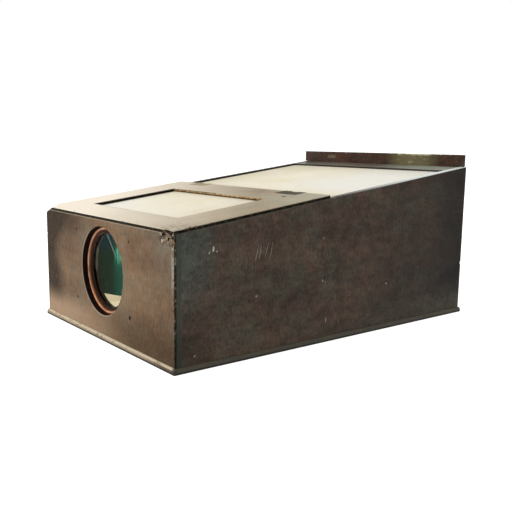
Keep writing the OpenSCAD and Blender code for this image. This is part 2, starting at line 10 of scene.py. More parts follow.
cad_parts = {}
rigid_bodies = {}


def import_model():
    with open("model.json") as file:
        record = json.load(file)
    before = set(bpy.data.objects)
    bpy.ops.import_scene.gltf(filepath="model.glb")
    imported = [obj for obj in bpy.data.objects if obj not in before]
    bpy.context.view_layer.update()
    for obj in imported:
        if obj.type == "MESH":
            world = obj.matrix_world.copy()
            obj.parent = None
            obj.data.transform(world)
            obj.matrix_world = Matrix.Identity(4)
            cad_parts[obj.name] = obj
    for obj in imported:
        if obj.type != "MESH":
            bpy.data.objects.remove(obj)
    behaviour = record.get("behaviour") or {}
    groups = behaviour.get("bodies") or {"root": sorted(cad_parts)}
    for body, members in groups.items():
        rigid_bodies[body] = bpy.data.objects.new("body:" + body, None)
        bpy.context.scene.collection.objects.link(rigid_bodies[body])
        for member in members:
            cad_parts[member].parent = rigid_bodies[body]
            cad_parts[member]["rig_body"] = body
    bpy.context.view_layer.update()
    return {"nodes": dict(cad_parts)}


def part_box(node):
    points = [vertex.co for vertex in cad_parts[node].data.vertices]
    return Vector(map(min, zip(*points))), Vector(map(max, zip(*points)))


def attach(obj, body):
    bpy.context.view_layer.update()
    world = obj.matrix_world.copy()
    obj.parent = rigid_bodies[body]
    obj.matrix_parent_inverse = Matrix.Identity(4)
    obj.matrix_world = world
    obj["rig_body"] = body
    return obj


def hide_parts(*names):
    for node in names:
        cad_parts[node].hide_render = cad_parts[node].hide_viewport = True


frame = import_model()

MM = 0.001

# Places that the looks need, from the frame
FRONT_LOW, FRONT_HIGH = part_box("front_board")
SIDE_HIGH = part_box("right_side_board")[1]
BASE_LOW, BASE_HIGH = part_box("base_board")
RAIL_LOW, RAIL_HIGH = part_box("slide_rail")
RING_LOW, RING_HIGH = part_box("lens_ring")
LENS_LOW, LENS_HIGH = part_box("lens")
CROSSBAR_LOW, CROSSBAR_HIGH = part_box("crossbar")
# The lens board's nails: the middles of the lower left and the upper right one
NAIL_R = 1.5 * MM
NAIL_LOW, NAIL_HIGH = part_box("lens_board_nails")
NAIL_LOW = NAIL_LOW + Vector((NAIL_R, 0, NAIL_R))
NAIL_HIGH = NAIL_HIGH - Vector((NAIL_R, 0, NAIL_R))
# Three of the nails have stained the wood round them: place across, height and how dark
NAIL_STAINS = [
    (NAIL_HIGH.x, NAIL_LOW.z, 0.95),
    (NAIL_LOW.x, NAIL_LOW.z, 0.50),
    (NAIL_LOW.x, NAIL_HIGH.z, 0.30),
]
STRIP_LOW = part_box("rear_crossrail")[0]
LEAF_LOW, LEAF_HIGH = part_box("right_hinge_leaf")
LEAF_MIDDLE = (LEAF_LOW + LEAF_HIGH) / 2
LEAF_HALF = (LEAF_HIGH - LEAF_LOW) / 2
LEFT_STILE_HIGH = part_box("left_stile")[1]
HALF_W = FRONT_HIGH.x
FRONT_Y = FRONT_LOW.y
REAR_Y = SIDE_HIGH.y
BOARD_T = FRONT_HIGH.y - FRONT_LOW.y
WINDOW_HALF_W = -LEFT_STILE_HIGH.x
# Middle of the old screw hole in the crossbar
OLD_HOLE = (150 * MM, -73.3 * MM)
# Middle of the splintered corner, across
TORN_X = HALF_W - 19 * MM
# How high the pale painted light reaches up the walls from the floor, and where its slanted edge runs down
# to the rear
PAINTED_LIGHT_TOP = 36 * MM
PALE_EDGE_Y = -216.1 * MM
PALE_EDGE_Z = 28.6 * MM
PALE_EDGE_FALL = 0.313
# The painted teal sheen on the wall lining behind the lens
TEAL_SHEEN_Y = -182 * MM
TEAL_SHEEN_Z = 94.6 * MM
# The thin pale line of painted highlight that leans to the rear as it comes down that lining
LINE_TOP_Y = -204.7 * MM
LINE_TOP_Z = 137.1 * MM
LINE_LEAN = 0.3684
REAR_TOP = SIDE_HIGH.z
LENS_Z = (LENS_LOW.z + LENS_HIGH.z) / 2
# Radius at which the bore's rim catches the light, just outside the ring
BORE_R = RING_HIGH.x + 1.1 * MM
# The front board's bevelled top rises with the slope, over its own thickness
SIDE_RISE = (REAR_TOP - FRONT_HIGH.z) / (REAR_Y - FRONT_HIGH.y)
FRONT_TOP = REAR_TOP - SIDE_RISE * (REAR_Y - FRONT_Y)
SLOPE = math.atan(SIDE_RISE)
LID_T = (CROSSBAR_HIGH.z - REAR_TOP + SIDE_RISE * (REAR_Y - CROSSBAR_HIGH.y)) * math.cos(SLOPE)


def top_z(y):
    """Height of the side boards' top edge at a depth."""
    return FRONT_TOP + (y - FRONT_Y) * SIDE_RISE


def lid_z(y):
    """Height of the top frame's upper face at a depth."""
    return top_z(y) + LID_T / math.cos(SLOPE)


class Wire:
    """A socket in a material, so that shader maths reads as Python expressions."""

    def __init__(self, tree, socket=None):
        self.tree = tree
        self.socket = socket

    def make(self, kind, settings=None, inputs=None, out=0):
        """Adds any node: its type, its settings, then the values or links of its sockets."""
        node = self.tree.nodes.new("ShaderNode" + kind)
        for name, value in (settings or {}).items():
            setattr(node, name, value)
        for name, value in (inputs or {}).items():
            if isinstance(value, Wire):
                self.tree.links.new(value.socket, node.inputs[name])
            else:
                node.inputs[name].default_value = value
        return Wire(self.tree, node.outputs[out] if node.outputs else None)

    def math(self, operation, *values):
        return self.make("Math", {"operation": operation}, dict(enumerate(values)))

    def __add__(self, other):
        return self.math("ADD", self, other)

    def __radd__(self, other):
        return self.math("ADD", other, self)

    def __sub__(self, other):
        return self.math("SUBTRACT", self, other)

    def __rsub__(self, other):
        return self.math("SUBTRACT", other, self)

    def __mul__(self, other):
        return self.math("MULTIPLY", self, other)

    def __rmul__(self, other):
        return self.math("MULTIPLY", other, self)

    def __truediv__(self, other):
        return self.math("DIVIDE", self, other)

    def size(self):
        return self.math("ABSOLUTE", self)

    def squared(self):
        return self.math("MULTIPLY", self, self)

    def root(self):
        return self.math("SQRT", self)

    def least(self, other):
        return self.math("MINIMUM", self, other)

    def most(self, other):
        return self.math("MAXIMUM", self, other)

    def held(self):
        """Kept between 0 and 1."""
        return self.least(1.0).most(0.0)

    def ease(self, low, high):
        """0 at low, 1 at high and smooth between; low may be the larger."""
        return self.make(
            "MapRange",
            {"interpolation_type": "SMOOTHSTEP"},
            {"Value": self, "From Min": low, "From Max": high},
        )

    def parts(self):
        """The x, y and z of a place."""
        node = self.make("SeparateXYZ", None, {"Vector": self}).socket.node
        return [Wire(self.tree, output) for output in node.outputs]

    def noise(self, scale, stretch, shift, detail=3.0, rough=0.55):
        """Cloudy noise from 0 to 1; a small number in stretch draws it out along that axis."""
        spread = self.make("Mapping", None, {"Vector": self, "Scale": stretch, "Location": (shift,) * 3})
        grain = {"Vector": spread, "Scale": scale, "Detail": detail, "Roughness": rough}
        return self.make("TexNoise", None, grain)

    def tint(self, first, second):
        """The colour first where this mask is 0, and second where it is 1."""
        first, second = colour(first), colour(second)
        return self.make("Mix", {"data_type": "RGBA"}, {0: self, 6: first, 7: second}, out=2)

    def scaled(self, value):
        """A colour made lighter or darker by a number."""
        return self.make("VectorMath", {"operation": "SCALE"}, {0: self, "Scale": value})


def below_top(y, z):
    """How far a place is below the slope of the side boards' top edges, upright."""
    return (y - FRONT_Y) * SIDE_RISE + FRONT_TOP - z


def distance(across, along):
    """Distance from a middle, from the distances on two axes."""
    return (across.squared() + along.squared()).root()


def colour(shade):
    """A colour for a socket: three numbers get a fourth, and a wire stays as it is."""
    return shade if isinstance(shade, Wire) else (*shade[:3], 1.0)


def srgb(text):
    """A colour written as a web colour, as the linear numbers that a socket takes."""
    parts = [int(text[i : i + 2], 16) / 255 for i in (0, 2, 4)]
    return tuple(v / 12.92 if v <= 0.04045 else ((v + 0.055) / 1.055) ** 2.4 for v in parts)


def finish(name, look, bump=0.0, **fixed):
    """A material: look gives the sockets that vary, from the place on the piece; fixed are the rest."""
    made = bpy.data.materials.new(name)
    made.use_nodes = True
    tree = made.node_tree
    tree.nodes.clear()
    place = Wire(tree).make("TexCoord", out="Object")
    varied = look(place)
    height = varied.pop("Height", None)
    if height is not None:
        varied["Normal"] = place.make("Bump", None, {"Height": height, "Distance": bump})
    sockets = {key.replace("_", " "): value for key, value in fixed.items()}
    shader = place.make("BsdfPrincipled", None, {**sockets, **varied})
    place.make("OutputMaterial", None, {"Surface": shader})
    return made


# Wood


def wood_parts(place, along, seed):
    """What mahogany shows: figure along the grain, mottles, patches, flecks across it and dark pores."""
    drawn = [1.0, 1.0, 1.0]
    drawn[along] = 0.07
    figure = place.noise(26.0, drawn, seed, 4.0)
    mottle = place.noise(9.0, (1, 1, 1), seed + 3.1, 3.0)
    patch = place.noise(34.0, (1, 1, 1), seed + 7.7, 3.0)
    upright = (1.0, 1.0, 0.22) if along != 2 else (0.22, 1.0, 1.0)
    fleck = place.noise(330.0, upright, seed + 1.3, 2.0, 0.6)
    thin = [1.0, 1.0, 1.0]
    thin[along] = 0.035
    pores = place.noise(900.0, thin, seed + 5.9, 2.0, 0.7).ease(0.58, 0.74)
    return figure, mottle, patch, fleck, pores


def mahogany(place, along, dark, light, cast, seed, fleck_depth):
    """The colour and the height of polished old mahogany; cast is the hue of its greyer patches."""
    figure, mottle, patch, fleck, pores = wood_parts(place, along, seed)
    shade = ((figure - 0.5) * 1.3 + (mottle - 0.5) * 1.5 + (patch - 0.5) * 0.9 + 0.5).held()
    body = shade.tint(dark, light)
    hue = place.noise(30.0, (1, 1, 1), seed + 11.0, 4.0, 0.6).ease(0.40, 0.66)
    body = (hue * 0.55).tint(body, cast)
    dimmed = body.scaled((1.0 - pores * 0.28) * (1.0 + (fleck - 0.5) * fleck_depth * 2.0))
    height = figure * 0.25 + fleck * 0.2 - pores * 0.55
    return dimmed, height


def rubbed(place, reach, seed):
    """A mask, 1 on patches where an edge is rubbed bare: reach is the distance from the edge."""
    patches = place.noise(140.0, (1, 1, 0.5), seed, 3.0, 0.65)
    close = reach.ease(4.0 * MM, 0.4 * MM)
    return (patches + close * 0.42 - (1.0 - close) * 0.5).ease(0.68, 0.82)


def front_painted_light_and_stains(place, body):
    """The front board's painted sheen low down at the left, its painted shade at the upper left, its other
    broad light and dark patches, its flecks and the stains round the nails.
    """
    x, y, z = place.parts()
    cloud = (place.noise(22.0, (1, 1, 1), 12.0, 3.0) - 0.5) * 60 * MM
    low = z.ease(66 * MM, 22 * MM)
    left = x.ease(120 * MM, -170 * MM)
    # Painted sheen: paler low down at the left
    body = (low * left * 0.7).tint(body, srgb("b0957a"))
    # dim_left is painted shade at the upper left; dim_right darkens towards the right edge
    dim_left = x.ease(-40 * MM, -120 * MM) * (1.0 - low) * 0.22
    dim_right = x.ease(150 * MM, HALF_W) * 0.16
    body = body.scaled(1.0 - dim_left - dim_right)
    # Painted shade along the left and top edges at the upper left
    bulge = z.ease(115 * MM, 80 * MM) * 14 * MM
    upper_left_shade = (x + cloud * 0.2 - bulge).ease(-140 * MM, -196 * MM)
    upper_left_shade = upper_left_shade + (z + cloud * 0.35).ease(132 * MM, 182 * MM) * x.ease(-30 * MM, -160 * MM)
    body = (upper_left_shade.held() * (1.0 - low) * 0.95).tint(body, srgb("291b0d"))
    right_foot = x.ease(-30 * MM, 100 * MM) * (z + cloud * 0.3).ease(80 * MM, 22 * MM)
    body = (right_foot * 0.75).tint(body, srgb("43321f"))
    bruised = (x + z + cloud * 0.4).ease(270 * MM, 380 * MM)
    bruised = bruised * place.noise(75.0, (1, 1, 1), 15.0).ease(0.3, 0.6)
    body = (bruised * 0.75).tint(body, srgb("716d61"))
    flecks = place.noise(520.0, (1, 1, 0.5), 13.0, 3.0, 0.7).ease(0.58, 0.72)
    body = (flecks * 0.4).tint(body, srgb("a5947c"))
    for nail_x, nail_z, depth in NAIL_STAINS:
        stain = distance(x - nail_x, z - nail_z).ease(4.6 * MM, 2.4 * MM)
        body = (stain * depth).tint(body, srgb("1b120c"))
    smuts = place.noise(170.0, (1, 1, 0.5), 18.0, 4.0, 0.65).ease(0.55, 0.72)
    return (smuts * 0.35).tint(body, srgb("3a2b20"))


def front_edges(place, body, arris, worn):
    """The front board's pale, rubbed and grimy edges: arris is the distance from an upright one."""
    x, y, z = place.parts()
    pale = x.ease(HALF_W - 10 * MM, HALF_W - 4 * MM) * z.ease(85 * MM, 135 * MM)
    pale = pale * place.noise(180.0, (1, 1, 0.5), 20.0, 3.0).ease(0.35, 0.6)
    body = (pale * 0.8).tint(body, srgb("a39f8e"))
    body = (worn * 0.55).tint(body, srgb("a89a84"))
    grime = place.noise(210.0, (1, 1, 1), 9.0, 2.0).ease(0.52, 0.66) * arris.ease(9 * MM, 0.0)
    body = (grime * 0.75).tint(body, srgb("211a14"))
    dark = arris.ease(1.6 * MM, 0.5 * MM) * place.noise(90.0, (1, 1, 1), 14.0).ease(0.62, 0.50)
    return (dark * 0.85).tint(body, srgb("1b1815"))


def torn_corner(place, body):
    """The splintered wood of the near top corner: dark hollows, dirt with painted shade, and pale bare
    fibres.
    """
    x, y, z = place.parts()
    torn = (x - TORN_X).size().ease(28 * MM, 12 * MM) * z.ease(FRONT_TOP - 22 * MM, FRONT_TOP - 7 * MM)
    # Dark hollows: dirt with painted shade of the splinters
    hollows = torn * place.noise(130.0, (1, 1, 1), 16.0, 3.0).ease(0.48, 0.57)
    body = hollows.tint(body, srgb("14100d"))
    fibres = torn * place.noise(190.0, (1, 1, 1), 17.0, 3.0).ease(0.54, 0.62)
    return fibres.tint(body, srgb("c9bea8"))


def front_end_grain(place, body):
    """The end of the front board, grey on the box's right side, with a dark seam along its near edge."""
    x, y, z = place.parts()
    end = (x - (HALF_W - 1.2 * MM)).ease(0.0, 0.8 * MM) * y.ease(FRONT_Y + 1.5 * MM, FRONT_Y + 3 * MM)
    grey = place.noise(260.0, (1, 1, 0.3), 8.0).tint(srgb("383a34"), srgb("54574e"))
    body = end.tint(body, grey.scaled(1.0 - z.ease(90 * MM, 30 * MM) * 0.35))
    seam = (x - (HALF_W - 1.6 * MM)).ease(0.0, 0.6 * MM) * y.ease(FRONT_Y + 3.6 * MM, FRONT_Y + 2.4 * MM)
    seam = seam * place.noise(110.0, (1, 1, 1), 19.0, 3.0).ease(0.66, 0.54)
    return (seam * 0.9).tint(body, srgb("120f0c"))


def front_look(place):
    """Front board: grey-brown, paler low down at the left with a painted sheen, dark along its upper left
    edges with painted shade.
    """
    x, y, z = place.parts()
    body, height = mahogany(place, 0, srgb("5f4735"), srgb("8f745a"), srgb("766c5a"), 2.0, 0.55)
    body = front_painted_light_and_stains(place, body)
    arris = (HALF_W - x.size()).most(y - FRONT_Y)
    top_arris = (FRONT_TOP - z).most(y - FRONT_Y)
    worn = rubbed(place, arris.least(top_arris), 4.0)
    body = front_edges(place, body, arris, worn)
    from_rim = (distance(x, z - LENS_Z) - BORE_R).size()
    lit_rim = from_rim.ease(1.0 * MM, 0.3 * MM) * (x + z * 0.6).ease(90 * MM, 20 * MM)
    body = (lit_rim * 0.7).tint(body, srgb("c0ae96"))
    body = torn_corner(place, body)
    # Painted shade on the bore's wall, dark plum
    bore_shade = y.ease(FRONT_Y + 0.5 * MM, FRONT_Y + 1.5 * MM) * x.size().ease(90 * MM, 80 * MM)
    body = bore_shade.tint(body, srgb("1d1416"))
    body = front_end_grain(place, body)
    rough = 0.42 + place.noise(60.0, (1, 1, 1), 6.0) * 0.22 + worn * 0.2
    return {"Base Color": body, "Roughness": rough, "Height": height}


# Scratches and specks on the right side: depth behind the front face, height, half length, half width,
# lean from upright in degrees and how pale each is
SIDE_MARKS = [
    (63, 168, 4.2, 1.5, 10, 1.0),
    (58, 176, 1.2, 0.7, 0, 0.4),
    (56, 163, 2.2, 0.8, 35, 0.8),
    (69, 164, 1.6, 0.9, -10, 0.6),
    (140, 156, 14.0, 0.35, 14, 0.60),
    (146, 157, 14.0, 0.35, 8, 0.60),
    (158, 158, 12.0, 0.35, 17, 0.60),
    (167, 157, 14.0, 0.35, 10, 0.60),
    (273, 168, 2.4, 0.7, 0, 0.45),
    (256, 138, 3.5, 0.5, 35, 0.35),
    (274, 100, 2.0, 1.2, -10, 0.50),
    (279, 97, 1.8, 0.8, 20, 0.40),
    (302, 67, 5.5, 0.5, 4, 0.35),
    (283, 35, 5.0, 1.0, 0, 0.50),
    (311, 29, 3.0, 0.5, 0, 0.30),
    (425, 79, 1.5, 1.5, 0, 0.95),
    (140, 92, 2.2, 1.4, 70, 0.40),
    (32, 21, 2.2, 0.8, 45, 0.55),
]


def side_marks(y, z):
    """A mask of the side's scratches and specks, each a leaning ellipse."""
    total = None
    for depth, up, half_long, half_wide, lean, pale in SIDE_MARKS:
        turn = math.radians(lean)
        across = y - (FRONT_Y + depth * MM)
        upward = z - up * MM
        run = across * math.sin(turn) + upward * math.cos(turn)
        side = across * math.cos(turn) - upward * math.sin(turn)
        out = (run / (half_long * MM)).squared() + (side / (half_wide * MM)).squared()
        mark = out.ease(1.2, 0.5) * pale
        total = mark if total is None else total.most(mark)
    return total


def side_light(place, body):
    """The side's broad changes: greener at the front, darker to the rear, paler at the foot, gritty."""
    x, y, z = place.parts()
    near = y.ease(FRONT_Y + 95 * MM, FRONT_Y + 5 * MM) * z.ease(60 * MM, 150 * MM)
    body = (near * 0.7).tint(body, srgb("454c47"))
    far = y.ease(-60 * MM, REAR_Y)
    farthest = y.ease(200 * MM, REAR_Y - 10 * MM)
    body = body.scaled((1.25 - far * 0.60) * (1.0 - farthest * 0.63))
    foot = z.ease(70 * MM, 12 * MM)
    body = (foot * far * 0.8).tint(body, srgb("504b42"))
    near_foot = y.ease(FRONT_Y + 90 * MM, FRONT_Y + 20 * MM) * z.ease(100 * MM, 30 * MM)
    body = body.scaled(1.0 - near_foot * 0.4)
    rubs = place.noise(70.0, (1, 0.06, 1), 31.0, 4.0, 0.7).ease(0.60, 0.75)
    body = (rubs * 0.25).tint(body, srgb("6c5a4a"))
    marks = side_marks(y, z) * x.ease(HALF_W - 2 * MM, HALF_W - 1 * MM)
    body = marks.tint(body, srgb("c9c2b4"))
    grit = place.noise(260.0, (1, 1, 0.6), 33.0, 3.0, 0.7)
    grit = grit + place.noise(95.0, (1, 0.6, 1), 34.0, 3.0, 0.6)
    return body.scaled((grit - 1.0) * 1.6 + 1.02)


def side_top(place, body, top):
    """The side boards' top edges, each paler to the rear with a painted sheen, and painted shade on the
    left one's inner side behind the crossbar.
    """
    x, y, z = place.parts()
    # Painted sheen: the top edges grow paler to the rear, the right one nearly white
    right = y.ease(-20 * MM, REAR_Y - 80 * MM).tint(srgb("4d4b42"), (0.93, 0.98, 0.95))
    left = y.ease(-40 * MM, REAR_Y).tint(srgb("1f1b14"), srgb("6f6f64"))
    mottled = place.noise(80.0, (1, 0.3, 1), 35.0).ease(0.05, 0.40)
    mottled = mottled.most(y.ease(REAR_Y - 130 * MM, REAR_Y - 90 * MM))
    body = (top * mottled).tint(body, x.ease(-1 * MM, 1 * MM).tint(left, right))
    # Painted shade on the left board's inner side behind the crossbar, where it walls the rear pane
    inner = x.ease(4.2 * MM - HALF_W, 5.2 * MM - HALF_W) * x.ease(0.0, -1 * MM)
    inner = inner * y.ease(CROSSBAR_HIGH.y - 2 * MM, CROSSBAR_HIGH.y)
    return (inner * 0.92).tint(body, srgb("17110b"))


def side_look(place):
    """Side boards: dark reddish brown, darker than the front board partly in the wood's own tone and partly
    as painted shade, greener towards the front and darker towards the rear.
    """
    x, y, z = place.parts()
    # Darker than the front board: partly the wood's own tone, partly painted shade
    body, height = mahogany(place, 1, srgb("352a24"), srgb("56453a"), srgb("434439"), 21.0, 0.34)
    body = side_light(place, body)
    arris = (REAR_Y - y).most(HALF_W - x.size())
    body = (rubbed(place, arris, 24.0) * 0.6).tint(body, srgb("8d7c68"))
    top = below_top(y, z).ease(1.5 * MM, 0.8 * MM)
    body = side_top(place, body, top)
    rough = 0.46 + place.noise(50.0, (1, 0.3, 1), 26.0) * 0.22 - top * 0.2
    return {"Base Color": body, "Roughness": rough, "Height": height}


def lid_grime_and_shade(place, body):
    """Grime with painted shade beside the front window, grime at the near corner, painted shade round the
    hinge leaves and in the old screw hole.
    """
    x, y, z = place.parts()
    # Grime with painted shade beside the front window's left edge, widening the dark of its wall
    beside = (x + WINDOW_HALF_W).ease(-3.0 * MM, -1.0 * MM) * x.ease(0.0, -1 * MM)
    beside = beside * (y - CROSSBAR_LOW.y).ease(1 * MM, 0.0) * (y - FRONT_Y).ease(50 * MM, 60 * MM)
    body = (beside * 0.85).tint(body, srgb("241c12"))
    corner = (x - HALF_W).size().ease(85 * MM, 5 * MM) * (y - FRONT_Y).size().ease(60 * MM, 5 * MM)
    grimed = place.noise(120.0, (1, 1, 1), 48.0, 4.0, 0.7).ease(0.40, 0.66)
    body = (corner * grimed * 0.7).tint(body, srgb("4a3d2e"))
    from_leaf = (x.size() - LEAF_MIDDLE.x).size() - LEAF_HALF.x
    from_leaf = from_leaf.most((y - LEAF_MIDDLE.y).size() - LEAF_HALF.y)
    # Painted shade round the hinge leaves' recesses, stronger on the right leaf
    outline = from_leaf.ease(1.8 * MM, 0.4 * MM) * (x.ease(-1 * MM, 1 * MM) * 0.7 + 0.2)
    body = outline.tint(body, srgb("201b13"))
    # Painted shade standing for the old screw hole's dark inside, ragged at its edge
    ragged = (place.noise(400.0, (1, 1, 1), 49.0) - 0.5) * 3 * MM
    from_hole = distance(x - OLD_HOLE[0], y - OLD_HOLE[1]) + ragged
    return (from_hole.ease(4.8 * MM, 2.6 * MM) * 0.95).tint(body, srgb("16110c"))


def lid_walls(place, body):
    """The top frame's upright walls: dark with painted shade, but tan on the crossbar's front in the
    window, where a painted shadow line runs along the tan wall's foot.
    """
    x, y, z = place.parts()
    below = below_top(y, z) + LID_T
    walls = place.noise(160.0, (1, 1, 1), 47.0, 3.0, 0.65)
    # Painted shade on the walls
    dark = walls.ease(0.45, 0.7).tint(srgb("191410"), srgb("3d3529"))
    tan = walls.ease(0.35, 0.65).tint(srgb("7a5f3c"), srgb("bfa57c"))
    # Painted shadow line along the foot of the tan wall
    tan = (below.ease(2.3 * MM, 3.1 * MM) * 0.8).tint(tan, srgb("2e2418"))
    in_window = y.ease(CROSSBAR_LOW.y - 1.5 * MM, CROSSBAR_LOW.y - 0.5 * MM)
    in_window = in_window * y.ease(CROSSBAR_LOW.y + 4 * MM, CROSSBAR_LOW.y + 3 * MM)
    in_window = in_window * x.size().ease(WINDOW_HALF_W + 2 * MM, WINDOW_HALF_W)
    return below.ease(0.5 * MM, 1.1 * MM).tint(body, in_window.tint(dark, tan))


def lid_look(along):
    """Top frame: mahogany painted pale towards the front left as a sheen, greyer to the right, with grime
    and painted shade near its edges.
    """

    def look(place):
        x, y, z = place.parts()
        shades = srgb("94846c"), srgb("baa78a"), srgb("a39b82")
        body, height = mahogany(place, along, *shades, 41.0 + along, 0.25)
        # Painted sheen: near white at the front left, fading across the frame
        front_left_sheen = ((x * -0.90 - y + 10 * MM) / (380 * MM)).held()
        body = (front_left_sheen * 0.95).tint(body, (1.0, 0.91, 0.76))
        greyed = x.ease(40 * MM, HALF_W) * y.ease(-200 * MM, CROSSBAR_HIGH.y) * 0.7
        body = greyed.tint(body, srgb("b9b7a3"))
        spots = place.noise(95.0, (1, 1, 1), 44.0, 4.0, 0.7).ease(0.62, 0.74)
        body = (spots * 0.35).tint(body, srgb("544838"))
        body = lid_walls(place, lid_grime_and_shade(place, body))
        rough = 0.34 + place.noise(45.0, (1, 1, 1), 46.0) * 0.26 + spots * 0.15
        return {"Base Color": body, "Roughness": rough, "Height": height}

    return look


def strip_look(place):
    """Rear crossrail: dark at the left and paler towards the right, where it catches the light."""
    x, y, z = place.parts()
    body, height = mahogany(place, 0, srgb("51483a"), srgb("78705f"), srgb("66655a"), 55.0, 0.2)
    lit = (x + place.noise(30.0, (1, 1, 1), 56.0) * 0.1).ease(40 * MM, 230 * MM)
    body = lit.tint(body, srgb("9fa394"))
    streaks = place.noise(150.0, (0.15, 1, 1), 57.0, 3.0, 0.7).ease(0.55, 0.7)
    body = (streaks * 0.5).tint(body, srgb("3a3228"))
    wall = y.ease(STRIP_LOW.y + 2 * MM, STRIP_LOW.y + 1 * MM)
    body = (wall * 0.9).tint(body, srgb("1d1610"))
    return {"Base Color": body, "Roughness": 0.4 + streaks * 0.25, "Height": height}


def rail_look(place):
    """Slide rail: dark, rubbed yellowish where fingers lift it, pale along its top edge with rubbing and a
    painted sheen.
    """
    x, y, z = place.parts()
    body, height = mahogany(place, 0, srgb("241a15"), srgb("43302a"), srgb("353328"), 61.0, 0.4)
    crest = z.ease(RAIL_HIGH.z - 7 * MM, RAIL_HIGH.z)
    grip = (x - 95 * MM).size().ease(75 * MM, 20 * MM)
    ruddy = (x + 105 * MM).size().ease(50 * MM, 10 * MM) * 0.5
    body = ruddy.tint(body, srgb("4a2c20"))
    blotch = place.noise(120.0, (0.5, 1, 1), 64.0, 3.0, 0.65)
    mottles = place.noise(130.0, (0.6, 1, 1), 65.0, 4.0, 0.7).ease(0.42, 0.62)
    body = (mottles * 0.5).tint(body, srgb("57341f"))
    body = (grip * 0.65).tint(body, srgb("77714f"))
    specks = place.noise(420.0, (0.5, 1, 1), 67.0, 2.0).ease(0.62, 0.72)
    body = (specks * (0.12 + grip * 0.25)).tint(body, srgb("b9b293"))
    # Pale along the top edge and on the grip: partly rubbing, partly painted sheen
    worn = (blotch + crest * 0.25 + grip * 0.20).ease(0.80, 0.98) * crest.most(grip * 0.7)
    body = (worn * 0.85).tint(body, srgb("cdc5a8"))
    smudge = (x + 130 * MM).size().ease(16 * MM, 8 * MM)
    smudge = smudge * (z - (RAIL_LOW.z + 27 * MM)).size().ease(5 * MM, 2 * MM)
    body = (smudge * 0.55).tint(body, srgb("77705f"))
    rough = 0.36 + place.noise(60.0, (0.4, 1, 1), 66.0) * 0.25
    return {"Base Color": body, "Roughness": rough, "Height": height}


def base_look(place):
    """Base board: olive-brown with a painted highlight along its rounded upper edge and painted shade at
    its foot.
    """
    x, y, z = place.parts()
    body, height = mahogany(place, 1, srgb("84745c"), srgb("b5a387"), srgb("8b8676"), 81.0, 0.3)
    right = x.ease(HALF_W - 6 * MM, HALF_W)
    body = (right * 0.88).tint(body, srgb("37362d"))
    # Painted highlight along the rounded upper edge, facing the light
    crest = z.ease(4.5 * MM, 7.5 * MM)
    lit = crest * (1.0 - right) * place.noise(45.0, (1, 1, 1), 83.0).ease(0.25, 0.45)
    body = (lit * 0.8).tint(body, srgb("d2c6ad"))
    # Painted shade along the base's lowest edge
    foot = z.ease(3.8 * MM, 2.4 * MM)
    body = (foot * 0.95).tint(body, srgb("15100c"))
    # Painted shade on the upper edge towards the near right corner
    near_corner_shade = x.ease(110 * MM, 200 * MM) * z.ease(6.6 * MM, 5.2 * MM)
    near_corner_shade = near_corner_shade * y.ease(FRONT_Y + 5 * MM, FRONT_Y)
    body = (near_corner_shade * 0.8).tint(body, srgb("2b2219"))
    rough = 0.5 + place.noise(60.0, (1, 1, 1), 84.0) * 0.2
    return {"Base Color": body, "Roughness": rough, "Height": height}


def ring_look(place):
    """Turned ring: polished reddish wood, with painted shade in its hollows and a painted glint on its
    bead.
    """
    x, y, z = place.parts()
    swirl = place.noise(40.0, (1, 6, 1), 101.0, 3.0)
    streak = place.noise(300.0, (1, 1, 0.3), 102.0, 2.0)
    body = (swirl * 0.7 + streak * 0.3).ease(0.3, 0.7).tint(srgb("7d4222"), srgb("c47d4a"))
    radius = distance(x, z - LENS_Z)
    # Painted shade in the cove and inward of it
    deep = radius.ease(RING_HIGH.x - 5.4 * MM, RING_HIGH.x - 6.2 * MM)
    glint = (radius - (RING_HIGH.x - 4.3 * MM)).size().ease(0.7 * MM, 0.2 * MM)
    body = (glint * streak.ease(0.35, 0.6) * 0.7).tint(body, srgb("ecc39a"))
    body = (deep * 0.93).tint(body, srgb("1c120d"))
    rough = 0.22 + streak * 0.14 + deep * 0.5
    return {"Base Color": body, "Roughness": rough, "Coat Weight": 0.4 - deep * 0.4, "Height": streak}


def bare_look(dark, light, along, seed):
    """Bare inner wood, unpolished, with dust."""

    def look(place):
        figure, mottle, patch, fleck, pores = wood_parts(place, along, seed)
        body = ((figure - 0.5) * 1.6 + (mottle - 0.5) + 0.5).held().tint(dark, light)
        body = body.scaled(1.0 - pores * 0.3)
        dust = place.noise(25.0, (1, 1, 1), seed + 2.0, 4.0).ease(0.52, 0.75)
        body = (dust * 0.25).tint(body, srgb("a39a88"))
        return {"Base Color": body, "Roughness": 0.72 + fleck * 0.2, "Height": figure * 0.4 - pores * 0.6}

    return look


def split_look(place):
    """Torn wood where a chip has come away: pale fibres with dark dirt between them."""
    fibre = place.noise(700.0, (0.15, 1, 1), 121.0, 3.0, 0.7)
    dirt = place.noise(160.0, (1, 1, 1), 122.0, 3.0, 0.7)
    body = fibre.ease(0.35, 0.65).tint(srgb("4a3424"), srgb("a98f6d"))
    body = dirt.ease(0.42, 0.62).tint(body, srgb("1e1712"))
    return {"Base Color": body, "Roughness": 0.85 + fibre * 0.1, "Height": fibre}


# Glass, metal and paper


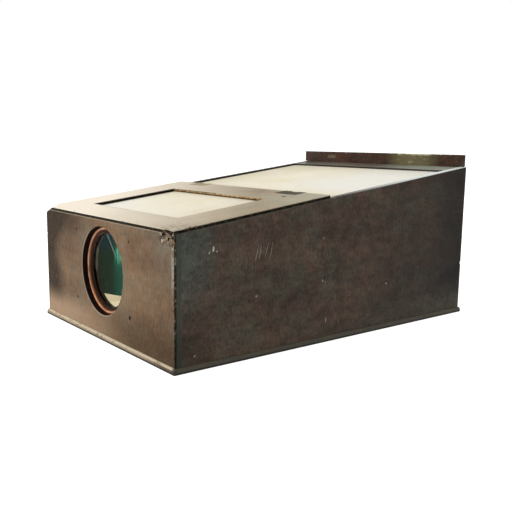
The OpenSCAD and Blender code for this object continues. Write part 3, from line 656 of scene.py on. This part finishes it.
def pane_look(seed, shadow, bright):
    """Ground glass, cream with age, faintly clouded, with painted shade at one place and painted light at
    another.
    """

    def look(place):
        x, y, z = place.parts()
        clouds = place.noise(11.0, (1, 1, 1), seed, 4.0, 0.6)
        grind = place.noise(600.0, (1, 1, 1), seed + 1.0, 2.0)
        dust = place.noise(70.0, (1, 0.4, 1), seed + 2.0, 4.0, 0.7).ease(0.55, 0.78)
        body = clouds.ease(0.3, 0.7).tint(srgb("f8efd4"), srgb("fff8e4"))
        # Painted light, then painted shade
        body = bright(x, y).tint(body, (1.0, 0.98, 0.90))
        body = (shadow(x, y) * 0.8).tint(body, srgb("c4bb9f"))
        body = (dust * 0.2).tint(body, srgb("b9ae8f"))
        return {"Base Color": body, "Roughness": 0.48 + grind * 0.08 + dust * 0.2, "Height": grind}

    return look


def lens_look(place):
    """Old crown glass: clear, with a touch of green and a little dust."""
    dust = place.noise(300.0, (1, 1, 1), 141.0, 2.0).ease(0.66, 0.74)
    return {"Base Color": dust.tint((0.96, 1.0, 0.98), (0.86, 0.90, 0.87)), "Roughness": dust * 0.05}


def brass_look(place):
    """Tarnished brass: olive-brown on the right leaf, and dull with pale dust on the left one."""
    x, y, z = place.parts()
    stain = place.noise(220.0, (1, 1, 1), 161.0, 4.0, 0.65)
    body = stain.ease(0.35, 0.68).tint(srgb("2b2819"), srgb("646149"))
    spots = place.noise(900.0, (1, 1, 1), 162.0, 2.0).ease(0.60, 0.70)
    body = (x.ease(1 * MM, -1 * MM) * 0.8).tint(body, srgb("b5a487"))
    body = (spots * 0.6).tint(body, srgb("2c2a20"))
    return {"Base Color": body, "Roughness": 0.42 + stain * 0.3, "Height": stain}


def iron_look(place):
    """Iron fixings, brown with rust."""
    rust = place.noise(500.0, (1, 1, 1), 181.0, 4.0, 0.7)
    body = rust.ease(0.38, 0.62).tint(srgb("2a2522"), srgb("5b4031"))
    bare = rust.ease(0.6, 0.4)
    return {"Base Color": body, "Roughness": 0.5 + rust * 0.35, "Metallic": bare, "Height": rust}


def paper_look(base, stain, seed):
    """Lining paper: fibres, cockles and foxing."""

    def look(place):
        fibre = place.noise(800.0, (1, 0.3, 1), seed, 3.0, 0.7)
        cockle = place.noise(14.0, (1, 1, 1), seed + 1.0, 2.0)
        foxing = place.noise(60.0, (1, 1, 1), seed + 2.0, 4.0, 0.7).ease(0.60, 0.76)
        body = (foxing * 0.5).tint(colour(base), stain)
        body = body.scaled(0.86 + fibre * 0.16 + cockle * 0.12)
        return {"Base Color": body, "Roughness": 0.84 + fibre * 0.1, "Height": fibre * 0.2 + cockle * 0.8}

    return look


def wall_look(place):
    """Wall lining: dark green paper with a painted teal sheen behind the lens, a painted pale line, and
    pale painted light along its foot.
    """
    x, y, z = place.parts()
    look = paper_look(srgb("1d2a22"), srgb("141c18"), 251.0)(place)
    high = z.ease(100 * MM, 140 * MM) * y.ease(-110 * MM, -160 * MM)
    body = high.tint(look["Base Color"], srgb("1d3642"))
    # Painted teal sheen behind the lens: a broad wash, then streaks round its middle
    behind_lens = y.ease(-200 * MM, -180 * MM) * y.ease(-125 * MM, -165 * MM)
    body = (behind_lens * 0.5).tint(body, srgb("1d5a50"))
    streaks = place.noise(230.0, (1, 1, 0.14), 256.0, 3.0, 0.7)
    rubs = (z - TEAL_SHEEN_Z).size().ease(24 * MM, 6 * MM) * (y - TEAL_SHEEN_Y).size().ease(11 * MM, 3 * MM)
    body = (rubs * streaks.ease(0.38, 0.62)).tint(body, srgb("4fa893"))
    # Painted highlight: a thin pale line
    from_line = (y - LINE_TOP_Y - (LINE_TOP_Z - z) * LINE_LEAN).size()
    line = from_line.ease(0.9 * MM, 0.3 * MM) * z.ease(78 * MM, 105 * MM)
    body = (line * 0.6).tint(body, srgb("9fb5a6"))
    # Painted light: pale along the walls' foot, below a slanted edge that falls to the rear
    torn = (PALE_EDGE_Z - (y - PALE_EDGE_Y) * PALE_EDGE_FALL).least(PAINTED_LIGHT_TOP)
    foot = (z - torn).ease(0.4 * MM, 0.0)
    pale = place.noise(40.0, (1, 1, 1), 255.0, 4.0).tint(srgb("b3a78f"), srgb("ddd3bb"))
    look["Base Color"] = foot.tint(body, pale)
    return look


POLISH = {"Specular_IOR_Level": 0.15}
FADED = {"Specular_IOR_Level": 0.015}
FRONT_WOOD = finish("front_mahogany", front_look, 0.35 * MM, Specular_IOR_Level=0.05)
SIDE_WOOD = finish("side_mahogany", side_look, 0.35 * MM, Specular_IOR_Level=0.12)
LID_ACROSS = finish("top_mahogany_across", lid_look(0), 0.25 * MM, **FADED)
LID_ALONG = finish("top_mahogany_along", lid_look(1), 0.25 * MM, **FADED)
STRIP_WOOD = finish("rear_strip_wood", strip_look, 0.25 * MM, **POLISH)
RAIL_WOOD = finish("slide_rail_wood", rail_look, 0.3 * MM, **POLISH)
BASE_WOOD = finish("base_moulding_wood", base_look, 0.35 * MM, Specular_IOR_Level=0.25)
RING_WOOD = finish("turned_ring_wood", ring_look, 0.08 * MM, Specular_IOR_Level=0.3, Coat_Roughness=0.12)
INNER_ACROSS = finish("inner_wood_across", bare_look(srgb("54402d"), srgb("7d6247"), 0, 201.0), 0.3 * MM)
INNER_ALONG = finish("inner_wood_along", bare_look(srgb("54402d"), srgb("7d6247"), 1, 205.0), 0.3 * MM)
INNER_UPRIGHT = finish("inner_wood_upright", bare_look(srgb("4a3828"), srgb("705840"), 2, 209.0), 0.3 * MM)
SLIDE_ACROSS = finish("slide_frame_across", bare_look(srgb("3d2f22"), srgb("5f4a36"), 0, 213.0), 0.3 * MM)
SLIDE_UPRIGHT = finish("slide_frame_upright", bare_look(srgb("3d2f22"), srgb("5f4a36"), 2, 217.0), 0.3 * MM)
BLOCK_WOOD = finish("glue_block_wood", bare_look(srgb("8c7350"), srgb("b59b72"), 2, 221.0), 0.3 * MM)
STAINED_WOOD = finish("lens_board_wood", bare_look(srgb("17120e"), srgb("2b211a"), 0, 225.0), 0.3 * MM)
SPLIT_WOOD = finish("split_wood", split_look, 0.5 * MM)


def front_shadow(x, y):
    """Painted shade on the front pane: towards the crossbar and to the right."""
    return y.ease(CROSSBAR_LOW.y - 60 * MM, CROSSBAR_LOW.y) * 0.2 + x.ease(20 * MM, 140 * MM) * 0.25


def front_bright(x, y):
    """Painted light on the front pane: at its front left."""
    return (x * -0.5 - y).ease(0.14, 0.34)


def rear_shadow(x, y):
    """Painted shade on the rear pane: beside the crossbar, where there is dirt too, beside the rear strip
    and at its left.
    """
    at_bar = y.ease(CROSSBAR_HIGH.y + 55 * MM, CROSSBAR_HIGH.y)
    at_strip = y.ease(STRIP_LOW.y - 90 * MM, STRIP_LOW.y) * 0.3
    return (at_bar * 0.65 + at_strip + x.ease(-40 * MM, -215 * MM) * 0.4).held()


def rear_bright(x, y):
    """Painted light on the rear pane: to the right, away from the crossbar."""
    return x.ease(-60 * MM, 130 * MM) * y.ease(CROSSBAR_HIGH.y + 20 * MM, CROSSBAR_HIGH.y + 110 * MM)


PANE = {"Transmission_Weight": 0.06, "IOR": 1.5, "Specular_IOR_Level": 0.02}
FRONT_GLASS = finish("front_ground_glass", pane_look(231.0, front_shadow, front_bright), 0.02 * MM, **PANE)
REAR_GLASS = finish("rear_ground_glass", pane_look(241.0, rear_shadow, rear_bright), 0.02 * MM, **PANE)
# Less than crown glass has, so that the bright studio's reflection doesn't hide what is behind the lens
LENS_INDEX = 1.02
LENS_GLASS = finish("lens_glass", lens_look, Transmission_Weight=1.0, IOR=LENS_INDEX)
BRASS = finish("tarnished_brass", brass_look, 0.1 * MM, Specular_IOR_Level=0.03)
IRON = finish("rusty_iron", iron_look, 0.1 * MM)
WALL_PAPER = finish("dark_green_paper", wall_look, 0.2 * MM, Specular_IOR_Level=0.2)
FLOOR_PAPER = finish("pale_floor_paper", paper_look(srgb("e2d6bd"), srgb("b9a27c"), 261.0), 0.2 * MM)
VIEW_CARD = finish("view_card", paper_look(srgb("e6dfcc"), srgb("c2ab84"), 271.0), 0.2 * MM)


# Modelling helpers


def only(piece):
    """Selects one piece and nothing else."""
    bpy.ops.object.select_all(action="DESELECT")
    piece.select_set(True)
    bpy.context.view_layer.objects.active = piece


def settle(piece):
    """Puts the piece's place into its mesh."""
    only(piece)
    bpy.ops.object.transform_apply(location=True, rotation=True, scale=True)


def dress(piece, material):
    """Gives the piece one material in place of any other."""
    piece.data.materials.clear()
    piece.data.materials.append(material)


def carry(piece, node):
    """The piece stands for a CAD node and moves with that node's body."""
    body = frame["nodes"][node]["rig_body"]
    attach(piece, body)
    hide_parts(node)
    return piece


def node_copy(node, name):
    """A copy of a CAD node with its loose triangles merged into whole faces."""
    source = frame["nodes"][node]
    piece = bpy.data.objects.new(name, source.data.copy())
    bpy.context.scene.collection.objects.link(piece)
    only(piece)
    bpy.ops.object.mode_set(mode="EDIT")
    bpy.ops.mesh.select_all(action="SELECT")
    bpy.ops.mesh.remove_doubles(threshold=0.005 * MM)
    bpy.ops.mesh.dissolve_limited(angle_limit=math.radians(0.6))
    bpy.ops.object.mode_set(mode="OBJECT")
    return piece


def round_edges(piece, width, sharp=32.0, segments=2):
    """Rounds the sharp edges, as wear does; edges that are nearly flat stay as they are."""
    only(piece)
    bevel = piece.modifiers.new("rounded", "BEVEL")
    bevel.width = width
    bevel.segments = segments
    bevel.limit_method = "ANGLE"
    bevel.angle_limit = math.radians(sharp)
    bpy.ops.object.modifier_apply(modifier=bevel.name)


def flatten(piece, sharp=50.0):
    """Smooths the rounded edges and keeps the broad faces flat."""
    only(piece)
    bpy.ops.object.shade_smooth_by_angle(angle=math.radians(sharp))
    normals = piece.modifiers.new("flat faces", "WEIGHTED_NORMAL")
    normals.keep_sharp = True
    bpy.ops.object.modifier_apply(modifier=normals.name)


def chip_cutter(chips, seed):
    """Lumps that break chips away: each chip is a middle and three half sizes, in metres."""
    rng = random.Random(seed)
    lumps = []
    for middle, half in chips:
        bpy.ops.mesh.primitive_ico_sphere_add(subdivisions=2, radius=1.0, location=middle)
        lump = bpy.context.object
        for corner in lump.data.vertices:
            corner.co *= rng.uniform(0.72, 1.18)
        lump.scale = half
        lump.rotation_euler = (rng.uniform(-0.5, 0.5), rng.uniform(-0.5, 0.5), rng.uniform(-0.5, 0.5))
        settle(lump)
        dress(lump, SPLIT_WOOD)
        lumps.append(lump)
    bpy.ops.object.select_all(action="DESELECT")
    for lump in lumps:
        lump.select_set(True)
    bpy.context.view_layer.objects.active = lumps[0]
    if len(lumps) > 1:
        bpy.ops.object.join()
    return lumps[0]


def carve(piece, chips, seed):
    """Breaks chips out of a piece; the torn faces keep their own finish."""
    cutter = chip_cutter(chips, seed)
    only(piece)
    cut = piece.modifiers.new("chips", "BOOLEAN")
    cut.operation = "DIFFERENCE"
    cut.solver = "EXACT"
    cut.use_self = True
    cut.material_mode = "TRANSFER"
    cut.object = cutter
    bpy.ops.object.modifier_apply(modifier=cut.name)
    bpy.data.objects.remove(cutter)


def along_arris(start, end, count, size, seed):
    """Small nicks scattered along an edge."""
    rng = random.Random(seed)
    start, end = Vector(start), Vector(end)
    nicks = []
    for _ in range(count):
        place = start.lerp(end, rng.random())
        half = size * rng.uniform(0.45, 1.0)
        wide, deep, tall = rng.uniform(0.8, 1.6), rng.uniform(0.8, 1.6), rng.uniform(0.8, 2.2)
        nicks.append((place, (half * wide, half * deep, half * tall)))
    return nicks


def board(node, material, width, chips=(), seed=1):
    """A board of the box: the CAD shape with worn edges and chips."""
    piece = node_copy(node, node + "_worn")
    dress(piece, material)
    round_edges(piece, width)
    if chips:
        carve(piece, chips, seed)
    flatten(piece)
    return carry(piece, node)


def repaint(material, *nodes):
    """Gives CAD nodes that keep their own shape a finish."""
    for node in nodes:
        dress(frame["nodes"][node], material)


# Pieces


def front_board():
    """The front board, splintered at its near top corner and nicked down both upright arrises."""
    low, high = 20 * MM, 180 * MM
    chips = along_arris((HALF_W, FRONT_Y, low), (HALF_W, FRONT_Y, high), 16, 1.5 * MM, 5)
    chips += along_arris((-HALF_W, FRONT_Y, low), (-HALF_W, FRONT_Y, high), 6, 1.2 * MM, 6)
    chips += [
        ((HALF_W - 24 * MM, FRONT_Y, FRONT_TOP - 2 * MM), (9 * MM, 2.2 * MM, 2.6 * MM)),
        ((HALF_W - 27 * MM, FRONT_Y + 0.5 * MM, FRONT_TOP - 1.5 * MM), (2.6 * MM, 4 * MM, 3.6 * MM)),
        ((HALF_W - 12 * MM, FRONT_Y - 0.4 * MM, FRONT_TOP - 8 * MM), (7 * MM, 1.8 * MM, 3.4 * MM)),
        ((HALF_W - 4 * MM, FRONT_Y, FRONT_TOP - 12 * MM), (4 * MM, 2.4 * MM, 6 * MM)),
    ]
    board("front_board", FRONT_WOOD, 0.6 * MM, chips, 11)


def side_boards():
    """The side boards: the right one chipped along its top and rear, the left one at its rear."""
    seam_y = FRONT_Y + BOARD_T + 1 * MM
    chips = along_arris((HALF_W, seam_y, 30 * MM), (HALF_W, seam_y, 170 * MM), 5, 1.0 * MM, 7)
    chips += [
        ((HALF_W - 3 * MM, REAR_Y - 3 * MM, REAR_TOP), (4 * MM, 4 * MM, 2.6 * MM)),
        ((HALF_W, REAR_Y, 95 * MM), (1.5 * MM, 2.5 * MM, 5 * MM)),
    ]
    for y, half in (
        (FRONT_Y + 300 * MM, (1.6 * MM, 3.5 * MM, 1.4 * MM)),
        (FRONT_Y + 312 * MM, (1.4 * MM, 2.5 * MM, 1.2 * MM)),
    ):
        chips.append(((HALF_W, y, top_z(y)), half))
    board("right_side_board", SIDE_WOOD, 0.8 * MM, chips, 12)
    chips = along_arris((-HALF_W, REAR_Y, 40 * MM), (-HALF_W, REAR_Y, 240 * MM), 6, 1.5 * MM, 8)
    board("left_side_board", SIDE_WOOD, 0.8 * MM, chips, 13)


def base_board():
    """The base board, split at its front and nicked along its front and right edges."""
    nick_z = 6 * MM
    front_left, front_right = (-HALF_W, BASE_LOW.y, nick_z), (HALF_W, BASE_LOW.y, nick_z)
    side_front, side_rear = (BASE_HIGH.x, FRONT_Y, nick_z), (BASE_HIGH.x, REAR_Y, nick_z)
    chips = [((-14 * MM, BASE_LOW.y, 5 * MM), (0.9 * MM, 5 * MM, 8 * MM))]
    chips += along_arris(front_left, front_right, 12, 1.6 * MM, 9)
    chips += along_arris(side_front, side_rear, 14, 1.5 * MM, 10)
    board("base_board", BASE_WOOD, 0.5 * MM, chips, 14)


# Chips along the top frame's right edge: depth behind the front face and size, in millimetres
EDGE_CHIPS = ((24.5, 2.2), (30.0, 1.2), (34.0, 2.6), (58.0, 1.4), (62.0, 1.1), (118.0, 1.3), (190.0, 1.0))


def top_frame():
    """The front rail, the stiles and the crossbar, chipped along the front and the right edge."""
    arris_z = FRONT_TOP + LID_T
    front_chips = [
        ((HALF_W - 22 * MM, FRONT_Y, FRONT_TOP + 1.0 * MM), (7 * MM, 2.2 * MM, 2.0 * MM)),
        ((HALF_W - 30 * MM, FRONT_Y, FRONT_TOP + 1.5 * MM), (3 * MM, 3.0 * MM, 2.6 * MM)),
        ((HALF_W - 3 * MM, FRONT_Y, FRONT_TOP + 2 * MM), (2.4 * MM, 1.6 * MM, 2.4 * MM)),
    ]
    front_chips += along_arris(
        (30 * MM - HALF_W, FRONT_Y, arris_z), (HALF_W, FRONT_Y, arris_z), 8, 1.0 * MM, 15
    )
    board("front_rail", LID_ACROSS, 0.6 * MM, front_chips, 16)
    right_chips = []
    for depth, size in EDGE_CHIPS:
        y = FRONT_Y + depth * MM
        right_chips.append(((HALF_W, y, lid_z(y)), (size * MM, size * 0.8 * MM, size * 1.3 * MM)))
    board("right_stile", LID_ALONG, 0.6 * MM, right_chips, 17)
    board("left_stile", LID_ALONG, 0.6 * MM)
    y = CROSSBAR_LOW.y + 30 * MM
    board("crossbar", LID_ACROSS, 0.6 * MM, [((HALF_W, y, lid_z(y)), (1.4 * MM, 3 * MM, 1.2 * MM))], 18)


def slide():
    """The view slide: its rail nicked where fingers lift it, the frame below and the bare card."""
    left, right = (-HALF_W, RAIL_LOW.y, RAIL_HIGH.z), (HALF_W, RAIL_LOW.y, RAIL_HIGH.z)
    board("slide_rail", RAIL_WOOD, 0.8 * MM, along_arris(left, right, 7, 1.2 * MM, 19), 20)
    board("slide_bottom_rail", SLIDE_ACROSS, 0.4 * MM)
    board("slide_left_stile", SLIDE_UPRIGHT, 0.4 * MM)
    board("slide_right_stile", SLIDE_UPRIGHT, 0.4 * MM)
    repaint(VIEW_CARD, "view_card")
    repaint(IRON, "card_sprigs")


def inside():
    """The blocks, the lens board, the bars, beads and guides, the panes, the linings and the fixings."""
    for node in ("front_left_glue_block", "front_right_glue_block"):
        board(node, BLOCK_WOOD, 0.5 * MM)
    board("lens_board", STAINED_WOOD, 0.4 * MM)
    board("mid_bar", INNER_ACROSS, 0.4 * MM)
    board("rear_crossrail", STRIP_WOOD, 0.4 * MM)
    for node in ("front_pane_front_bead", "front_pane_rear_bead"):
        board(node, INNER_ACROSS, 0.4 * MM)
    for node in ("front_pane_left_bead", "front_pane_right_bead", "left_pane_bearer", "right_pane_bearer"):
        board(node, INNER_ALONG, 0.4 * MM)
    for node in ("left_front_guide", "right_front_guide", "left_rear_guide", "right_rear_guide"):
        board(node, INNER_UPRIGHT, 0.4 * MM)
    repaint(WALL_PAPER, "left_wall_lining", "right_wall_lining")
    repaint(FLOOR_PAPER, "floor_lining")
    repaint(FRONT_GLASS, "front_pane")
    repaint(REAR_GLASS, "rear_pane")
    repaint(IRON, "lens_board_nails", "lid_pins", "base_screws")


def hinges():
    """The two leaves that are left on the crossbar, and their screws."""
    for node in ("left_hinge_leaf", "right_hinge_leaf"):
        board(node, BRASS, 0.15 * MM)
    repaint(BRASS, "hinge_screws")


def turned(name, outline, steps):
    """A piece turned round the lens's axis, from a closed outline of radius and depth."""
    bpy.ops.mesh.primitive_circle_add(vertices=len(outline), radius=1.0, location=(0, 0, 0))
    piece = bpy.context.object
    piece.name = name
    for corner, (radius, depth) in zip(piece.data.vertices, outline):
        corner.co = (radius, depth, LENS_Z)
    only(piece)
    bpy.ops.object.mode_set(mode="EDIT")
    bpy.ops.mesh.select_all(action="SELECT")
    bpy.ops.mesh.spin(steps=steps, angle=2 * math.pi, center=(0, 0, LENS_Z), axis=(0, 1, 0))
    bpy.ops.mesh.select_all(action="SELECT")
    bpy.ops.mesh.remove_doubles(threshold=0.01 * MM)
    bpy.ops.mesh.normals_make_consistent(inside=False)
    bpy.ops.object.mode_set(mode="OBJECT")
    settle(piece)
    bpy.ops.object.shade_smooth_by_angle(angle=math.radians(40))
    return piece


def arc(middle, radius, start, end, steps):
    """Points on an arc of the turner's outline, angles in degrees from outwards towards the front."""
    turns = [math.radians(start + (end - start) * i / steps) for i in range(steps + 1)]
    return [(middle[0] + radius * math.cos(t), middle[1] - radius * math.sin(t)) for t in turns]


def lens_and_ring():
    """The turned ring, with its outer bead, its cove and its inner lip, and the lens behind it."""
    bead_r = 2.9 * MM
    lip_r = 0.6 * MM
    outer, inner = RING_HIGH.x, RING_HIGH.x - 10.3 * MM
    face, rear = RING_LOW.y + bead_r, RING_HIGH.y
    cove_r = (outer - inner - 2 * bead_r - 2 * lip_r) / 2
    bead = arc((outer - bead_r, face), bead_r, 0, 180, 16)
    cove = arc((outer - 2 * bead_r - cove_r, face), cove_r, 0, -180, 10)[1:-1]
    lip = arc((inner + lip_r, face), lip_r, 0, 180, 8)
    outline = bead + cove + lip + [(inner, rear), (outer, rear)]
    ring = turned("lens_ring_turned", outline, 144)
    dress(ring, RING_WOOD)
    carry(ring, "lens_ring")
    lens = node_copy("lens", "lens_polished")
    bpy.ops.object.shade_smooth_by_angle(angle=math.radians(30))
    dress(lens, LENS_GLASS)
    carry(lens, "lens")


front_board()
side_boards()
base_board()
top_frame()
slide()
inside()
hinges()
lens_and_ring()


# Studio

# The camera, worked out from the photograph: what it looks at, from where, its roll and its lens
AIM = Vector((-0.0422, 0.0260, 0.0987))
CAMERA_AZIMUTH = math.radians(51.31)
CAMERA_ELEVATION = math.radians(9.13)
CAMERA_ROLL = math.radians(0.85)
CAMERA_DISTANCE = 1.337
CAMERA_LENS = 48.81
# How strongly the world lights the box, and how much the floor glows to come out white
WORLD_LIGHT = 0.66
FLOOR_GLOW = 0.78
FLOOR_REACH = 40.0
# The lamps: name, place, target, size, watts and colour
LAMPS = [
    ("front_softbox", (-1.3, -2.4, 1.1), (0, -0.1, 0.1), 1.6, 42.0, (1.0, 0.96, 0.90)),
    ("rear_window", (-2.4, 1.95, 1.25), (0.0, 0.05, 0.22), 1.6, 26.0, (1.0, 0.97, 0.93)),
    # Stands in for the daylight that the ground glass spreads inside the box
    ("inside_glow", (-0.02, -0.16, 0.17), (-0.02, -0.1601, 0.0), 0.2, 0.8, (1.0, 0.98, 0.93)),
]


def camera():
    """The camera, placed where the photograph was taken from."""
    data = bpy.data.cameras.new("camera")
    data.lens = CAMERA_LENS
    data.sensor_width = 36.0
    data.clip_end = 200.0
    back = Vector(
        (
            math.sin(CAMERA_AZIMUTH) * math.cos(CAMERA_ELEVATION),
            -math.cos(CAMERA_AZIMUTH) * math.cos(CAMERA_ELEVATION),
            math.sin(CAMERA_ELEVATION),
        )
    )
    made = bpy.data.objects.new("camera", data)
    bpy.context.scene.collection.objects.link(made)
    right = Vector((0, 0, 1)).cross(back).normalized()
    up = back.cross(right)
    across = right * math.cos(CAMERA_ROLL) + up * math.sin(CAMERA_ROLL)
    upward = up * math.cos(CAMERA_ROLL) - right * math.sin(CAMERA_ROLL)
    turn = Matrix((across, upward, back)).transposed()
    made.matrix_world = Matrix.Translation(AIM + back * CAMERA_DISTANCE) @ turn.to_4x4()
    bpy.context.scene.camera = made


def lamp(name, place, target, size, power, shade):
    """A square lamp that looks from a place to a target."""
    data = bpy.data.lights.new(name, "AREA")
    data.shape = "SQUARE"
    data.size = size
    data.energy = power
    data.color = shade
    made = bpy.data.objects.new(name, data)
    bpy.context.scene.collection.objects.link(made)
    made.location = place
    made.rotation_euler = (Vector(target) - Vector(place)).to_track_quat("-Z", "Y").to_euler()
    made.visible_camera = False
    made.visible_transmission = False
    # Its mirror image would veil the lens and the ground glass
    made.visible_glossy = False


def seen(wire):
    """1 for rays from the camera, from gloss and through glass, which all show the background."""
    paths = wire.make("LightPath").socket.node
    camera_ray = Wire(wire.tree, paths.outputs["Is Camera Ray"])
    glossy_ray = Wire(wire.tree, paths.outputs["Is Glossy Ray"])
    glass_ray = Wire(wire.tree, paths.outputs["Is Transmission Ray"])
    return camera_ray.most(glossy_ray).most(glass_ray)


def world():
    """A white surround that lights the box evenly."""
    made = bpy.data.worlds.new("studio")
    bpy.context.scene.world = made
    made.use_nodes = True
    tree = made.node_tree
    tree.nodes.clear()
    wire = Wire(tree)
    strength = seen(wire) * (1.0 - WORLD_LIGHT) + WORLD_LIGHT
    glow = wire.make("Background", None, {"Color": (1, 1, 1, 1), "Strength": strength})
    wire.make("OutputWorld", None, {"Surface": glow})


def floor():
    """A pale floor, white to the camera but for the box's shadow."""
    bpy.ops.mesh.primitive_plane_add(size=2 * FLOOR_REACH, location=(0, 0, -0.05 * MM))
    plane = bpy.context.object
    plane.name = "floor"
    settle(plane)
    made = bpy.data.materials.new("pale_floor")
    made.use_nodes = True
    tree = made.node_tree
    tree.nodes.clear()
    wire = Wire(tree)
    matt = wire.make("BsdfDiffuse", None, {"Color": (0.80, 0.80, 0.79, 1)})
    glow = wire.make("Emission", None, {"Color": (1, 1, 1, 1), "Strength": seen(wire) * FLOOR_GLOW})
    both = wire.make("AddShader", None, {0: matt, 1: glow})
    wire.make("OutputMaterial", None, {"Surface": both})
    dress(plane, made)


camera()
world()
floor()
for lamp_words in LAMPS:
    lamp(*lamp_words)

bpy.context.scene.view_settings.view_transform = "Standard"

bpy.context.view_layer.update()
